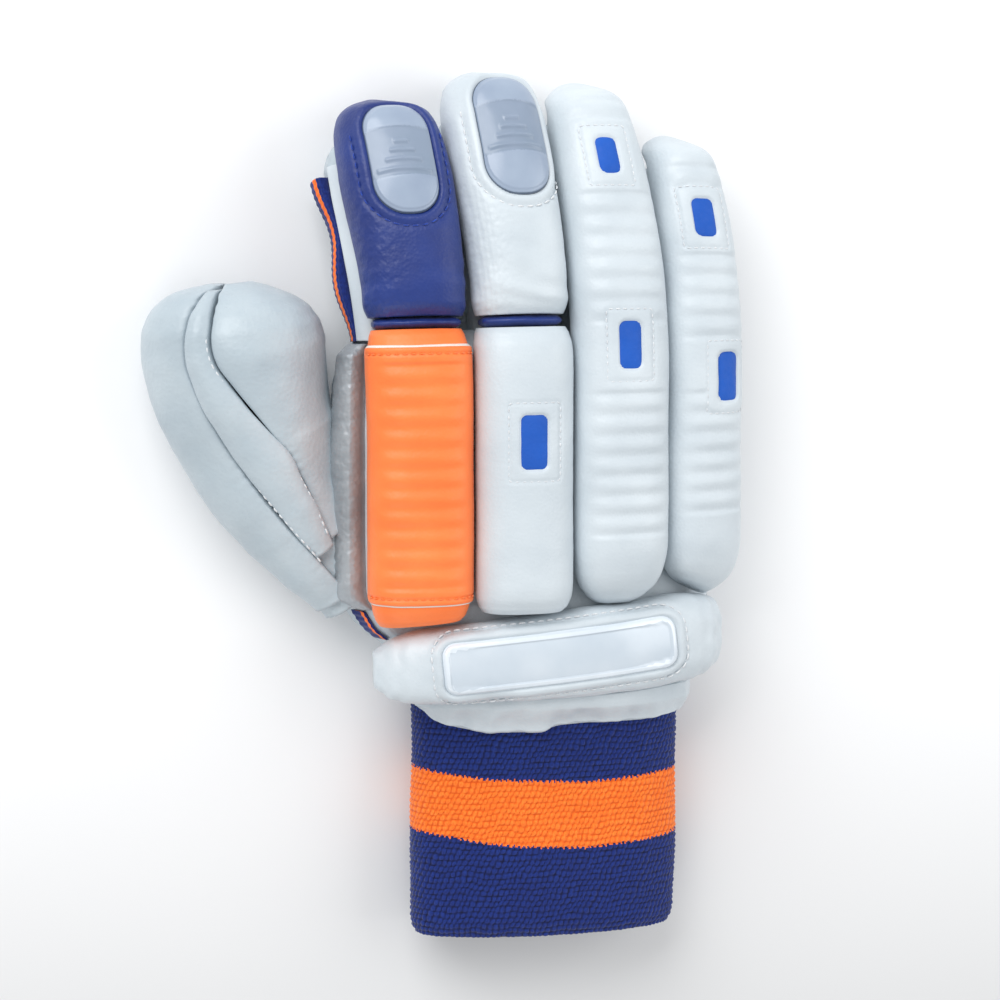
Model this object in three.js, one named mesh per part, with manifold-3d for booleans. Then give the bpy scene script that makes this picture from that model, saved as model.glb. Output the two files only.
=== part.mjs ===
// A right-hand batting glove for cricket, resting palm down with the back of the hand up.
// Millimetres. +Y runs to the fingertips, +X to the little finger, +Z out of the back of the hand.
// The origin is on the floor, in the middle of the flat heel of the palm. Below, the glove is built with its
// wrist crease at y = 0, and the last line moves it.
import * as THREE from "three";
import { mergeVertices } from "three/addons/utils/BufferGeometryUtils.js";
import Module from "manifold-3d";

const wasm = await Module();
wasm.setup();

// Clearances
const GAP = 0.3; // between two pieces that touch
const REST_GAP = 0.2; // from the floor to a fingertip or a pad that rests on it

// Hand and back
const HEEL_MIDDLE = 22; // from the wrist crease to the middle of the flat heel
const REACH = 203; // along the back, from the wrist crease to the middle fingertip
const CROTCH = 112; // along the back, where the fingers part
const WRIST_END = -20; // wrist edge of the leather hand
const PALM_SIDE_THUMB = 79; // reach of the palm's side wall towards the thumb
const PALM_SIDE_LITTLE = 61; // and towards the little finger
const BACK_SIDE_THUMB = 66; // where the back folds down towards the thumb
const BACK_SIDE_LITTLE = 56; // and towards the little finger
const LEATHER = 2; // palm leather with its lining
const FINGER_WALL = 1.8; // finger leather

// Finger stalls
const STALL_DEPTH = 24; // height of a finger stall where it leaves the palm
const STALL_TIP_DEPTH = 19; // and near its tip
const TIP_COVER = 9; // how far a roll reaches past the stall under it

// Rolls
const ROLL_GAP = 0.5; // between neighbouring rolls
const RIB_PITCH = 6.8; // from one rib to the next
const RIB_DEPTH = 0.9; // groove between two ribs

// Wristband
const BAND_WIDTH = 97.5;
const BAND_SHIFT = -2.5; // from the middle of the heel, towards the thumb
const BAND_END = -104; // its free edge
const BAND_TUCK = 11; // how much of it is sewn inside the hand
const BAND_WALL = 3;

// Thumb
const THUMB_ROOT_X = -73;
const THUMB_ROOT_Y = 27;
const THUMB_LENGTH = 111;
const THUMB_HEIGHT = 18; // its axis above the floor
const THUMB_RADIUS = 15; // outside of the thumb stall
const THUMB_REACH = 32; // outside of the pads round it
const THUMB_FLATNESS = 0.86; // height of the pads, as a share of their width
const PAD_GAP = 0.5; // between the thumb's pads

// Small pieces
const WINDOW_WIDTH = 9.2;
const WINDOW_LENGTH = 18;
const WINDOW_THICKNESS = 1.4;
const GUARD_WIDTH = 21.5;
const GUARD_LENGTH = 38;
const GUARD_THICKNESS = 2.4;
const GUARD_RISE = 0.5; // how far a tip guard stands proud of its cap
const BADGE_LENGTH = 79;
const BADGE_WIDTH = 19.5;
const BADGE_THICKNESS = 2.2;
const SLEEVE_WALL = 2.4;
const BAR_THICKNESS = 7; // padded bar on the side of the hand
const STRAP_WALL = 1.6; // knitted strip on the side of the index finger

// One row for each finger, in order from the thumb's side. width is the roll's, where it is sewn to the
// back; reach and foot are the roll's ends along the back; tilt leans its crest to the little finger.
const FINGERS = {
  index: { width: 36, height: 21, reach: 193, foot: 12, tilt: -6, stallWidth: 30, stallShift: -3.5 },
  middle: { width: 32.5, height: 22, reach: REACH, foot: 15.5, tilt: -3, stallWidth: 28, stallShift: 0 },
  ring: { width: 31.5, height: 22, reach: 199, foot: 17, tilt: 9, stallWidth: 27, stallShift: 0 },
  little: { width: 27.5, height: 21, reach: 180, foot: 19.5, tilt: 24, stallWidth: 25, stallShift: 0 },
};
const CAP_FOOT = 116.5; // lower edge of the two fingertip caps
const HINGE_GAP = 4.2; // between a cap and the roll below it
const TIP_TILT = 11; // degrees that every crest leans at the fingertips
const TIP_SPREAD = 1.06; // how much wider the fingers spread at their tips
const TIP_LEAN = 9; // sideways sweep of the fingertips towards the thumb

// Slope of the back, in degrees downwards, at shares of the reach.
const CURL = [
  { along: 0, slope: 0 },
  { along: 0.34, slope: 0 },
  { along: 0.53, slope: 6 },
  { along: 0.72, slope: 14 },
  { along: 0.87, slope: 24 },
  { along: 1, slope: 34 },
];

const radians = THREE.MathUtils.degToRad;
const clamp = THREE.MathUtils.clamp;
const mix = THREE.MathUtils.lerp;
const ease = (x, a, b) => THREE.MathUtils.smoothstep(x, Math.min(a, b), Math.max(a, b));
const point = (x, y, z) => new THREE.Vector3(x, y, z);
const spread = (count, from = 0, to = 1) =>
  Array.from({ length: count + 1 }, (_, i) => mix(from, to, i / count));

// The value of one column of a table at a share of its length.
function column(table, along, name) {
  let i = 0;
  while (i < table.length - 2 && along > table[i + 1].along) i++;
  const [a, b] = [table[i], table[i + 1]];
  return mix(a[name], b[name], clamp((along - a.along) / (b.along - a.along), 0, 1));
}

// A point on a rounded box: squareness 2 is an ellipse and more is squarer.
const bulge = (value, squareness) => Math.sign(value) * Math.abs(value) ** (2 / squareness);
const rounded = (angle, squareness) => ({
  x: bulge(Math.cos(angle), squareness),
  y: bulge(Math.sin(angle), squareness),
});

// Closed solids from vertices and triangles, turned to face outwards.
function solid(vertices, triangles) {
  const geometry = new THREE.BufferGeometry()
    .setFromPoints(vertices)
    .setIndex(triangles.flat());
  const merged = mergeVertices(geometry, 1e-4);
  const faces = [...merged.index.array];
  const make = (order) =>
    new wasm.Manifold(
      new wasm.Mesh({
        numProp: 3,
        vertProperties: new Float32Array(merged.attributes.position.array),
        triVerts: new Uint32Array(order),
      }),
    );
  const made = make(faces);
  if (made.volume() > 0) return made;
  const turned = faces.map((v, i) => faces[i % 3 === 0 ? i : i % 3 === 1 ? i + 1 : i - 1]);
  return make(turned);
}

// A solid through closed rings of equal point counts, with a fan at each end.
function tube(rings) {
  const n = rings[0].length;
  const vertices = rings.flat();
  const triangles = [];
  for (let i = 0; i + 1 < rings.length; i++) {
    for (let j = 0; j < n; j++) {
      const k = (j + 1) % n;
      const [a, b, c, d] = [i * n + j, i * n + k, (i + 1) * n + k, (i + 1) * n + j];
      triangles.push([a, b, c], [a, c, d]);
    }
  }
  const centre = (ring) => ring.reduce((sum, v) => sum.add(v), point(0, 0, 0)).divideScalar(n);
  const last = (rings.length - 1) * n;
  vertices.push(centre(rings[0]), centre(rings.at(-1)));
  for (let j = 0; j < n; j++) {
    const k = (j + 1) % n;
    triangles.push([vertices.length - 2, k, j], [vertices.length - 1, last + j, last + k]);
  }
  return solid(vertices, triangles);
}

// A sheet between two grids of points, closed round its four edges.
function sheet(outer, inner) {
  const rows = outer.length;
  const columns = outer[0].length;
  const vertices = [...outer.flat(), ...inner.flat()];
  const under = rows * columns;
  const at = (i, j) => i * columns + j;
  const triangles = [];
  for (let i = 0; i + 1 < rows; i++) {
    for (let j = 0; j + 1 < columns; j++) {
      const [a, b, c, d] = [at(i, j), at(i, j + 1), at(i + 1, j + 1), at(i + 1, j)];
      triangles.push([a, b, c], [a, c, d]);
      triangles.push([under + a, under + c, under + b], [under + a, under + d, under + c]);
    }
  }
  const wall = (a, b) => triangles.push([a, under + a, under + b], [a, under + b, b]);
  for (let j = 0; j + 1 < columns; j++) {
    wall(at(0, j), at(0, j + 1));
    wall(at(rows - 1, j + 1), at(rows - 1, j));
  }
  for (let i = 0; i + 1 < rows; i++) {
    wall(at(i + 1, 0), at(i, 0));
    wall(at(i, columns - 1), at(i + 1, columns - 1));
  }
  return solid(vertices, triangles);
}

// The line of the back: its place and slope at each millimetre, from the wrist to past the fingertips.
const TRACK_START = -60;
const track = [];
for (let t = TRACK_START, y = TRACK_START, z = 0; t <= REACH + 60; t++) {
  const slope = radians(column(CURL, clamp(t / REACH, 0, 1), "slope"));
  track.push({ y, z, slope });
  y += Math.cos(slope);
  z -= Math.sin(slope);
}
let backHeight = 0;
function line(t) {
  const at = clamp(t - TRACK_START, 0, track.length - 2);
  const i = Math.floor(at);
  const [a, b] = [track[i], track[i + 1]];
  const part = at - i;
  return {
    y: mix(a.y, b.y, part),
    z: mix(a.z, b.z, part) + backHeight,
    slope: mix(a.slope, b.slope, part),
  };
}

// Where each finger sits across the back, with 0 between the middle and the ring finger.
const order = Object.values(FINGERS);
const half = ROLL_GAP / 2;
FINGERS.middle.centre = -half - FINGERS.middle.width / 2;
FINGERS.index.centre = FINGERS.middle.centre - (FINGERS.middle.width + FINGERS.index.width) / 2 - ROLL_GAP;
FINGERS.ring.centre = half + FINGERS.ring.width / 2;
FINGERS.little.centre = FINGERS.ring.centre + (FINGERS.ring.width + FINGERS.little.width) / 2 + ROLL_GAP;
const EDGE_REACH = FINGERS.little.width;
const tiltTable = [
  { along: FINGERS.index.centre - EDGE_REACH, tilt: FINGERS.index.tilt - 3 },
  ...order.map(({ centre, tilt }) => ({ along: centre, tilt })),
  { along: FINGERS.little.centre + EDGE_REACH, tilt: FINGERS.little.tilt + 14 },
];

// The arch across the back at the knuckles, at each whole millimetre from its middle. It is followed to
// past both side walls.
const archSpan = Math.ceil(PALM_SIDE_THUMB + PALM_SIDE_LITTLE);
const arch = Array(2 * archSpan + 1);
arch[archSpan] = { x: 0, z: 0, tilt: radians(column(tiltTable, 0, "tilt")) };
for (const way of [1, -1]) {
  for (let n = 1; n <= archSpan; n++) {
    const before = arch[archSpan + way * (n - 1)];
    const tilt = radians(column(tiltTable, way * (n - 0.5), "tilt"));
    arch[archSpan + way * n] = {
      x: before.x + way * Math.cos(tilt),
      z: before.z - way * Math.sin(tilt),
      tilt: radians(column(tiltTable, way * n, "tilt")),
    };
  }
}
function across(s) {
  const at = clamp(s + archSpan, 0, arch.length - 1.001);
  const i = Math.floor(at);
  const [a, b] = [arch[i], arch[i + 1]];
  const part = at - i;
  return { x: mix(a.x, b.x, part), z: mix(a.z, b.z, part), tilt: mix(a.tilt, b.tilt, part) };
}

const TIP_ARCH = 0.3; // share of the knuckles' arch that is left at the fingertips
const tipShare = (t) => ease(t, CROTCH - 40, REACH);

// The middle of the section at t, and a point in that section.
function inSection(t, x, rise) {
  const { y, z, slope } = line(t);
  return point(x, y + rise * Math.sin(slope), z + rise * Math.cos(slope));
}

// A point of the back: s across from its middle, t along from the heel, h out of it.
function place(s, t, h) {
  const share = tipShare(t);
  const flat = mix(1, TIP_ARCH, share);
  const { x, z, tilt } = across(s);
  const lean = flat * tilt + radians(TIP_TILT) * share;
  const side = x * mix(1, TIP_SPREAD, share) - TIP_LEAN * share ** 2 + h * Math.sin(lean);
  return inSection(t, side, flat * z + h * Math.cos(lean));
}

// Height of the back at a sideways place, near the hand, where it isn't tilted.
function backRise(x, t) {
  const share = tipShare(t);
  let s = x;
  for (let n = 0; n < 4; n++) {
    s += x - (across(s).x * mix(1, TIP_SPREAD, share) - TIP_LEAN * share ** 2);
  }
  return across(s).z * mix(1, TIP_ARCH, share);
}

// Finger stalls: leather tubes, open to the palm.
const stallEnd = (finger) => finger.reach - TIP_COVER;
const STALL_POINTS = 12;
const STALL_ROWS = [
  { along: 0, wide: 1, deep: 0 },
  { along: 0.35, wide: 1, deep: 0.4 },
  { along: 0.65, wide: 0.97, deep: 0.8 },
  { along: 0.84, wide: 0.9, deep: 1 },
  { along: 0.94, wide: 0.68, deep: 1 },
  { along: 1, wide: 0.3, deep: 1 },
];
const STALL_TOP = -GAP;
function stallRing(finger, t, wide, depth, inset) {
  const middle = STALL_TOP - depth / 2;
  return spread(STALL_POINTS).slice(0, -1).map((turn) => {
    const { x, y } = rounded(turn * 2 * Math.PI, 2.6);
    const side = (finger.stallWidth / 2) * wide - inset;
    const rise = (depth / 2) * Math.min(1, 0.25 + wide) - inset;
    return place(finger.centre + finger.stallShift + side * x, t, middle + rise * y);
  });
}
function stallBody(finger, inset, from) {
  const end = stallEnd(finger) - inset;
  return tube(
    STALL_ROWS.map(({ along, wide, deep }) => {
      const t = mix(from, end, along);
      return stallRing(finger, t, wide, mix(STALL_DEPTH, STALL_TIP_DEPTH, deep), inset);
    }),
  );
}

// The back stands so high that the lowest fingertip just rests on the floor.
const lowest = Math.min(
  ...order.map((finger) => stallBody(finger, 0, CROTCH).boundingBox().min[2]),
);
backHeight = REST_GAP - lowest;

const fingerStalls = {};
for (const [name, finger] of Object.entries(FINGERS)) {
  const hollow = stallBody(finger, FINGER_WALL, CROTCH - 12);
  fingerStalls[name] = { hollow, shell: stallBody(finger, 0, CROTCH + GAP).subtract(hollow) };
}

// The hand and the wristband have the same number of points round them. They run from the little finger's
// side over the back to the thumb's side and return along the palm.
const BACK_POINTS = spread(8);
const PALM_POINTS = spread(5);
// out is a share of the way from the fold of the back to the side wall; up is a share of the height.
const THUMB_SIDE = [
  { out: 0.4, up: 0.91, angle: 146 },
  { out: 0.76, up: 0.68, angle: 160 },
  { out: 1, up: 0.42, angle: 178 },
  { out: 0.97, up: 0.2, angle: 197 },
  { out: 0.72, up: 0.05, angle: 214 },
];
const LITTLE_SIDE = [
  { out: 0.4, up: 0.05, angle: 326 },
  { out: 1, up: 0.26, angle: 342 },
  { out: 1, up: 0.58, angle: 362 },
  { out: 0.6, up: 0.86, angle: 384 },
];
const roundAngles = [
  ...BACK_POINTS.map((share) => mix(48, 132, share)),
  ...THUMB_SIDE.map(({ angle }) => angle),
  ...PALM_POINTS.map((share) => mix(230, 310, share)),
  ...LITTLE_SIDE.map(({ angle }) => angle),
].map(radians);

// A section drawn in by an even distance all round, or grown where it is negative.
function offset(section, distance) {
  return section.map((p, i) => {
    const [before, after] = [section.at(i - 1), section[(i + 1) % section.length]];
    const [n1, n2] = [
      [before, p],
      [p, after],
    ].map(([a, b]) => {
      const length = Math.hypot(b.x - a.x, b.y - a.y);
      return { x: (b.y - a.y) / length, y: (a.x - b.x) / length };
    });
    const scale = distance / (1 + n1.x * n2.x + n1.y * n2.y);
    return { x: p.x - (n1.x + n2.x) * scale, y: p.y - (n1.y + n2.y) * scale };
  });
}

// The wristband's outline. It is as deep as the hand's wrist end leaves it.
const BAND_SQUARENESS = 2.3;
const bandTop = line(WRIST_END).z - GAP - LEATHER - GAP;
const bandLow = LEATHER + GAP;
function bandSection(low, high) {
  return roundAngles.map((angle) => {
    const { x, y } = rounded(angle, BAND_SQUARENESS);
    return { x: BAND_SHIFT + (BAND_WIDTH / 2) * x, y: (high + low) / 2 + ((high - low) / 2) * y };
  });
}
// sag lowers the band from the hand's wrist end to the floor.
function bandRing({ y, inset, sag }, wall = 0) {
  const section = bandSection(mix(bandLow, REST_GAP, sag), mix(bandTop, bandTop - LEATHER, sag));
  return offset(section, inset + wall).map((p) => point(p.x, y, p.y));
}
const bandStart = WRIST_END + BAND_TUCK;
const bandRows = [
  { y: bandStart, inset: 0, sag: 0 },
  { y: WRIST_END, inset: 0, sag: 0 },
  { y: mix(WRIST_END, BAND_END, 0.3), inset: 0.8, sag: 0.6 },
  { y: mix(WRIST_END, BAND_END, 0.65), inset: 0, sag: 1 },
  { y: BAND_END + 5, inset: 0.2, sag: 1 },
  { y: BAND_END, inset: 1.4, sag: 1 },
];
const bandHollowRows = [
  { ...bandRows[0], y: bandStart + 5 },
  ...bandRows.slice(1, -1),
  { ...bandRows.at(-2), y: BAND_END - 5 },
];
const wristband = tube(bandRows.map((row) => bandRing(row))).subtract(
  tube(bandHollowRows.map((row) => bandRing(row, BAND_WALL))),
);

// The hand: one leather body, flat under the heel, open at the wrist. arched bends the palm along the back,
// and wrist turns the section into the wristband's.
const HAND_ROWS = [
  { along: 0, thumbSide: 0.66, littleSide: 0.78, arched: 0, wrist: 1 },
  { along: 0.09, thumbSide: 0.75, littleSide: 0.83, arched: 0, wrist: 1 },
  { along: 0.19, thumbSide: 0.92, littleSide: 0.93, arched: 0, wrist: 0.25 },
  { along: 0.3, thumbSide: 0.99, littleSide: 0.98, arched: 0, wrist: 0 },
  { along: 0.48, thumbSide: 1, littleSide: 1, arched: 0, wrist: 0 },
  { along: 0.66, thumbSide: 1, littleSide: 1, arched: 0.33, wrist: 0 },
  { along: 0.84, thumbSide: 0.98, littleSide: 1, arched: 0.72, wrist: 0 },
  { along: 1, thumbSide: 0.93, littleSide: 1, arched: 1, wrist: 0 },
];
function handRing(row, inset) {
  const t = mix(WRIST_END, CROTCH, row.along);
  const { z, slope } = line(t);
  const thumbWall = -PALM_SIDE_THUMB * row.thumbSide;
  const littleWall = PALM_SIDE_LITTLE * row.littleSide;
  const thumbFold = Math.max(-BACK_SIDE_THUMB, thumbWall * 0.9);
  const littleFold = Math.min(BACK_SIDE_LITTLE, littleWall * 0.94);
  const top = (x) => backRise(x, t) - GAP;
  const flat = -z / Math.cos(slope);
  const low = (x) => Math.max(flat, mix(flat, top(x) - STALL_DEPTH - 2, row.arched));
  const side = (fold, wall, points) =>
    points.map(({ out, up }) => {
      const x = mix(fold, wall, out);
      return { x, y: mix(low(x), top(fold), up) };
    });
  const palm = [
    ...BACK_POINTS.map((share) => mix(littleFold, thumbFold, share)).map((x) => ({ x, y: top(x) })),
    ...side(thumbFold, thumbWall, THUMB_SIDE),
    ...PALM_POINTS.map((share) => mix(thumbFold, littleFold * 0.92, share)).map((x) => ({ x, y: low(x) })),
    ...side(littleFold, littleWall, LITTLE_SIDE),
  ];
  const wrist = offset(bandSection(bandLow, bandTop), -GAP - LEATHER);
  const section = palm.map((p, i) => ({
    x: mix(p.x, wrist[i].x, row.wrist),
    y: mix(p.y, wrist[i].y - z, row.wrist),
  }));
  return offset(section, inset).map((p) => inSection(t, p.x, p.y));
}
const handBody = (inset) => tube(HAND_ROWS.map((row) => handRing(row, inset)));
// The hollow runs out past the wrist and stops a wall short of the finger mouths.
function handHollow() {
  const rows = HAND_ROWS.map((row) => handRing(row, LEATHER));
  rows.unshift(rows[0].map((v) => v.clone().setY(WRIST_END - 5)));
  rows[rows.length - 1] = rows.at(-1).map((v) => v.clone().add(point(0, -FINGER_WALL, 0)));
  return tube(rows);
}

// The thumb: a leather tube alongside the hand, with two pads and a strip round its back.
// Way of the thumb's axis, in degrees from the fingers towards the thumb's side.
const THUMB_BEND = [
  { along: 0, turn: 37 },
  { along: 0.3, turn: 34 },
  { along: 0.5, turn: 24 },
  { along: 0.7, turn: 12 },
  { along: 0.9, turn: 3 },
  { along: 1, turn: 0 },
];
const THUMB_STEPS = 60;
const thumbLine = [];
for (let i = 0, x = THUMB_ROOT_X, y = THUMB_ROOT_Y; i <= THUMB_STEPS; i++) {
  const turn = radians(column(THUMB_BEND, (i + 0.5) / THUMB_STEPS, "turn"));
  thumbLine.push({ along: i / THUMB_STEPS, x, y });
  x -= (Math.sin(turn) * THUMB_LENGTH) / THUMB_STEPS;
  y += (Math.cos(turn) * THUMB_LENGTH) / THUMB_STEPS;
}
function onThumb(along, radius, angle) {
  const turn = radians(column(THUMB_BEND, along, "turn"));
  const inside = clamp(along, 0, 1);
  const past = (along - inside) * THUMB_LENGTH;
  const side = radius * Math.cos(angle);
  return point(
    column(thumbLine, inside, "x") + side * Math.cos(turn) - past * Math.sin(turn),
    column(thumbLine, inside, "y") + side * Math.sin(turn) + past * Math.cos(turn),
    THUMB_HEIGHT + radius * THUMB_FLATNESS * Math.sin(angle),
  );
}
// stall is the stall's radius and pads the pads' reach, as shares of their largest.
const THUMB_ROWS = [
  { along: -0.05, stall: 1.08, pads: 0.6 },
  { along: 0, stall: 1.08, pads: 0.67 },
  { along: 0.06, stall: 1.08, pads: 0.71 },
  { along: 0.2, stall: 1.06, pads: 0.75 },
  { along: 0.35, stall: 1.03, pads: 0.81 },
  { along: 0.5, stall: 1, pads: 0.86 },
  { along: 0.65, stall: 1, pads: 0.95 },
  { along: 0.79, stall: 0.97, pads: 1 },
  { along: 0.87, stall: 0.85, pads: 0.97 },
  { along: 0.925, stall: 0.6, pads: 0.87 },
  { along: 0.965, stall: 0.3, pads: 0.7 },
  { along: 0.988, stall: 0.1, pads: 0.5 },
  { along: 1, stall: 0.1, pads: 0.26 },
];
const thumbAt = (along, name) => column(THUMB_ROWS, along, name);
function thumbBody(inset, from) {
  const rows = [from, 0, 0.2, 0.35, 0.5, 0.65, 0.79, 0.87, 0.925, 0.95];
  return tube(
    rows.map((along) =>
      spread(12).slice(0, -1).map((turn) => {
        const radius = Math.max(THUMB_RADIUS * thumbAt(along, "stall") - inset, 1);
        const back = along > 0.9 ? inset / THUMB_LENGTH : 0;
        return onThumb(along - back, radius, turn * 2 * Math.PI);
      }),
    ),
  );
}
// A pad is a crowned strip round the stall between two angles, which may change along it. edge is its
// reach at its two seams, as a share of its reach between them.
function thumbPad({ edge, start, stop, fromAngle, toAngle, steps, crown, blunt }) {
  const alongs = [
    start,
    start + 0.02,
    ...THUMB_ROWS.map(({ along }) => along).filter((along) => along > start + 0.04 && along < stop),
    stop,
  ];
  const grid = (outside) =>
    alongs.map((along) => {
      const inner = Math.max(THUMB_RADIUS * thumbAt(along, "stall"), 1) + PAD_GAP;
      const end = Math.min(1, blunt + (along - start) * 3);
      const slack = PAD_GAP / 2 / (inner + 4);
      const [a, b] = [fromAngle(along) + slack, toAngle(along) - slack];
      return spread(steps).map((share) => {
        const swell = edge + (1 - edge) * Math.sin(Math.PI * share) ** crown;
        const full = THUMB_REACH * thumbAt(along, "pads") * swell - inner;
        const outer = inner + Math.max(1.2, full * end);
        return onThumb(along, outside ? outer : inner, mix(a, b, share));
      });
    });
  return sheet(grid(true), grid(false));
}
const THUMB_SEAMS = [
  { along: 0, outer: 108, inner: 100 },
  { along: 0.15, outer: 111, inner: 84 },
  { along: 0.3, outer: 114, inner: 76 },
  { along: 0.45, outer: 118, inner: 76 },
  { along: 0.6, outer: 124, inner: 90 },
  { along: 0.8, outer: 134, inner: 112 },
  { along: 1, outer: 128, inner: 112 },
];
const seam = (name) => (along) => radians(column(THUMB_SEAMS, along, name));
const floorCut = tube(
  [-1, 1].map((way) =>
    [
      [-1, -1],
      [1, -1],
      [1, 1],
      [-1, 1],
    ].map(([x, y]) => point(x * 2 * REACH, y * 2 * REACH, way < 0 ? -REACH : REST_GAP)),
  ),
);
const besideHand = handBody(-GAP);
const onFloor = (body) => body.subtract(floorCut);
const thumbHollow = thumbBody(FINGER_WALL, -0.1);
const besideThumb = thumbBody(-GAP, -0.12);
const thumbStall = onFloor(thumbBody(0, -0.1).subtract(besideHand)).subtract(thumbHollow);
const outerPad = onFloor(
  thumbPad({
    edge: 0.88,
    start: -0.04,
    stop: 1,
    fromAngle: seam("outer"),
    toAngle: () => radians(252),
    steps: 9,
    crown: 0.7,
    blunt: 0.3,
  }),
).subtract(besideHand);
const innerPad = onFloor(
  thumbPad({
    edge: 0.88,
    start: 0.42,
    stop: 1,
    fromAngle: () => radians(-25),
    toAngle: seam("inner"),
    steps: 9,
    crown: 0.7,
    blunt: 0.6,
  }),
).subtract(besideHand);
const thumbStrip = thumbPad({
  edge: 0.84,
  start: 0.12,
  stop: 0.985,
  fromAngle: seam("inner"),
  toAngle: seam("outer"),
  steps: 3,
  crown: 1,
  blunt: 0.6,
}).subtract(besideHand);

const fingerHollows = Object.values(fingerStalls).map(({ hollow }) => hollow);
const hand = [...fingerHollows, thumbHollow].reduce(
  (body, hollow) => body.subtract(hollow),
  handBody(0).subtract(handHollow()),
);

// Rolls: padded bars on the back. wide and high are shares of the roll's width and height, and base is
// how far its underside drops below the back, as a share of the height.
const ROLL_SQUARENESS = 2.7;
const FOOT = 0.34; // height of the roll's widest line, as a share of its height
const ROUND_ROWS = [
  { along: 0, wide: 0.42, high: 0.4, base: 0 },
  { along: 0.015, wide: 0.66, high: 0.66, base: 0 },
  { along: 0.045, wide: 0.88, high: 0.88, base: 0 },
  { along: 0.1, wide: 1, high: 1, base: 0 },
  { along: 0.6, wide: 0.99, high: 1, base: 0 },
  { along: 0.8, wide: 0.91, high: 0.96, base: 0 },
  { along: 0.89, wide: 0.83, high: 0.92, base: 0 },
  { along: 0.94, wide: 0.74, high: 0.84, base: 0 },
  { along: 0.97, wide: 0.6, high: 0.72, base: 0.25 },
  { along: 0.99, wide: 0.42, high: 0.54, base: 0.3 },
  { along: 1, wide: 0.22, high: 0.3, base: 0.2 },
];
const SQUARE_ROWS = [
  { along: 0, wide: 0.84, high: 0.76, base: 0 },
  { along: 0.03, wide: 0.97, high: 0.92, base: 0 },
  { along: 0.08, wide: 1, high: 1, base: 0 },
  { along: 0.55, wide: 1, high: 1, base: 0 },
  { along: 0.75, wide: 1, high: 1, base: 0 },
  { along: 0.92, wide: 1, high: 1, base: 0 },
  { along: 0.97, wide: 0.98, high: 0.94, base: 0 },
  { along: 1, wide: 0.9, high: 0.8, base: 0 },
];
const CAP_ROWS = [
  { along: 0, wide: 0.88, high: 0.74, base: 0 },
  { along: 0.04, wide: 0.96, high: 0.9, base: 0 },
  { along: 0.12, wide: 0.95, high: 0.97, base: 0 },
  { along: 0.35, wide: 0.98, high: 1, base: 0 },
  { along: 0.6, wide: 1.01, high: 1, base: 0 },
  { along: 0.74, wide: 0.98, high: 0.98, base: 0 },
  { along: 0.83, wide: 0.91, high: 0.94, base: 0 },
  { along: 0.89, wide: 0.8, high: 0.86, base: 0 },
  { along: 0.94, wide: 0.64, high: 0.76, base: 0.25 },
  { along: 0.98, wide: 0.42, high: 0.58, base: 0.32 },
  { along: 1, wide: 0.2, high: 0.34, base: 0.2 },
];
class Roll {
  constructor({ centre, width, height, foot, reach, rows, ribs = [], slant = 0, points = 10 }) {
    Object.assign(this, { centre, width, height, foot, reach, rows, ribs, slant, points });
  }
  // Depth of the groove at t, 0 between the ribbed zones.
  groove(t, x) {
    const zone = this.ribs.find(({ from, to }) => t >= from && t <= to);
    if (!zone) return 0;
    const depth = RIB_DEPTH * (zone.depth ?? 1) * (1 - ease(Math.abs(x), 0.6, 0.95));
    return depth * (0.5 + 0.5 * Math.cos((2 * Math.PI * (t - zone.from)) / RIB_PITCH));
  }
  // Height of the top at s and t, over the back.
  top(s, t) {
    const along = (t - this.foot) / (this.reach - this.foot);
    const wide = column(this.rows, along, "wide");
    const x = (s - this.centre) / ((this.width / 2) * wide);
    const n = ROLL_SQUARENESS;
    const arc = Math.max(0, 1 - Math.abs(x) ** n) ** (1 / n);
    const high = this.height * column(this.rows, along, "high");
    const base = -this.height * column(this.rows, along, "base");
    return base + high * (FOOT + (1 - FOOT) * arc) - this.groove(t, x);
  }
  stations() {
    const span = this.reach - this.foot;
    const ends = this.rows.map(({ along }) => this.foot + along * span);
    const inZone = (t) => this.ribs.some(({ from, to }) => t >= from - 0.1 && t <= to + 0.1);
    const ribbed = this.ribs.flatMap(({ from, to }) =>
      spread(Math.round((2 * (to - from)) / RIB_PITCH)).map((share) => mix(from, to, share)),
    );
    return [...ends.filter((t) => !inZone(t)), ...ribbed].sort((a, b) => a - b);
  }
  ring(t, out = 0) {
    const along = (t - this.foot) / (this.reach - this.foot);
    const wide = column(this.rows, along, "wide");
    const high = this.height * column(this.rows, along, "high") + 2 * out;
    const base = -this.height * column(this.rows, along, "base") - out;
    const reach = (this.width / 2) * wide + out;
    const shift = (x) => this.slant * x * Math.max(0, 1 - along / 0.25);
    const at = (x, h) => place(this.centre + reach * x, t + shift(x), h);
    const crown = spread(this.points, 0, Math.PI).map((angle) => {
      const { x, y } = rounded(angle, ROLL_SQUARENESS);
      return at(x, base + high * (FOOT + (1 - FOOT) * y) - this.groove(t, x));
    });
    return [at(0, base), at(0.88, base), ...crown, at(-0.88, base)];
  }
  body(out = 0) {
    return tube(this.stations().map((t) => this.ring(t, out)));
  }
}

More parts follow.
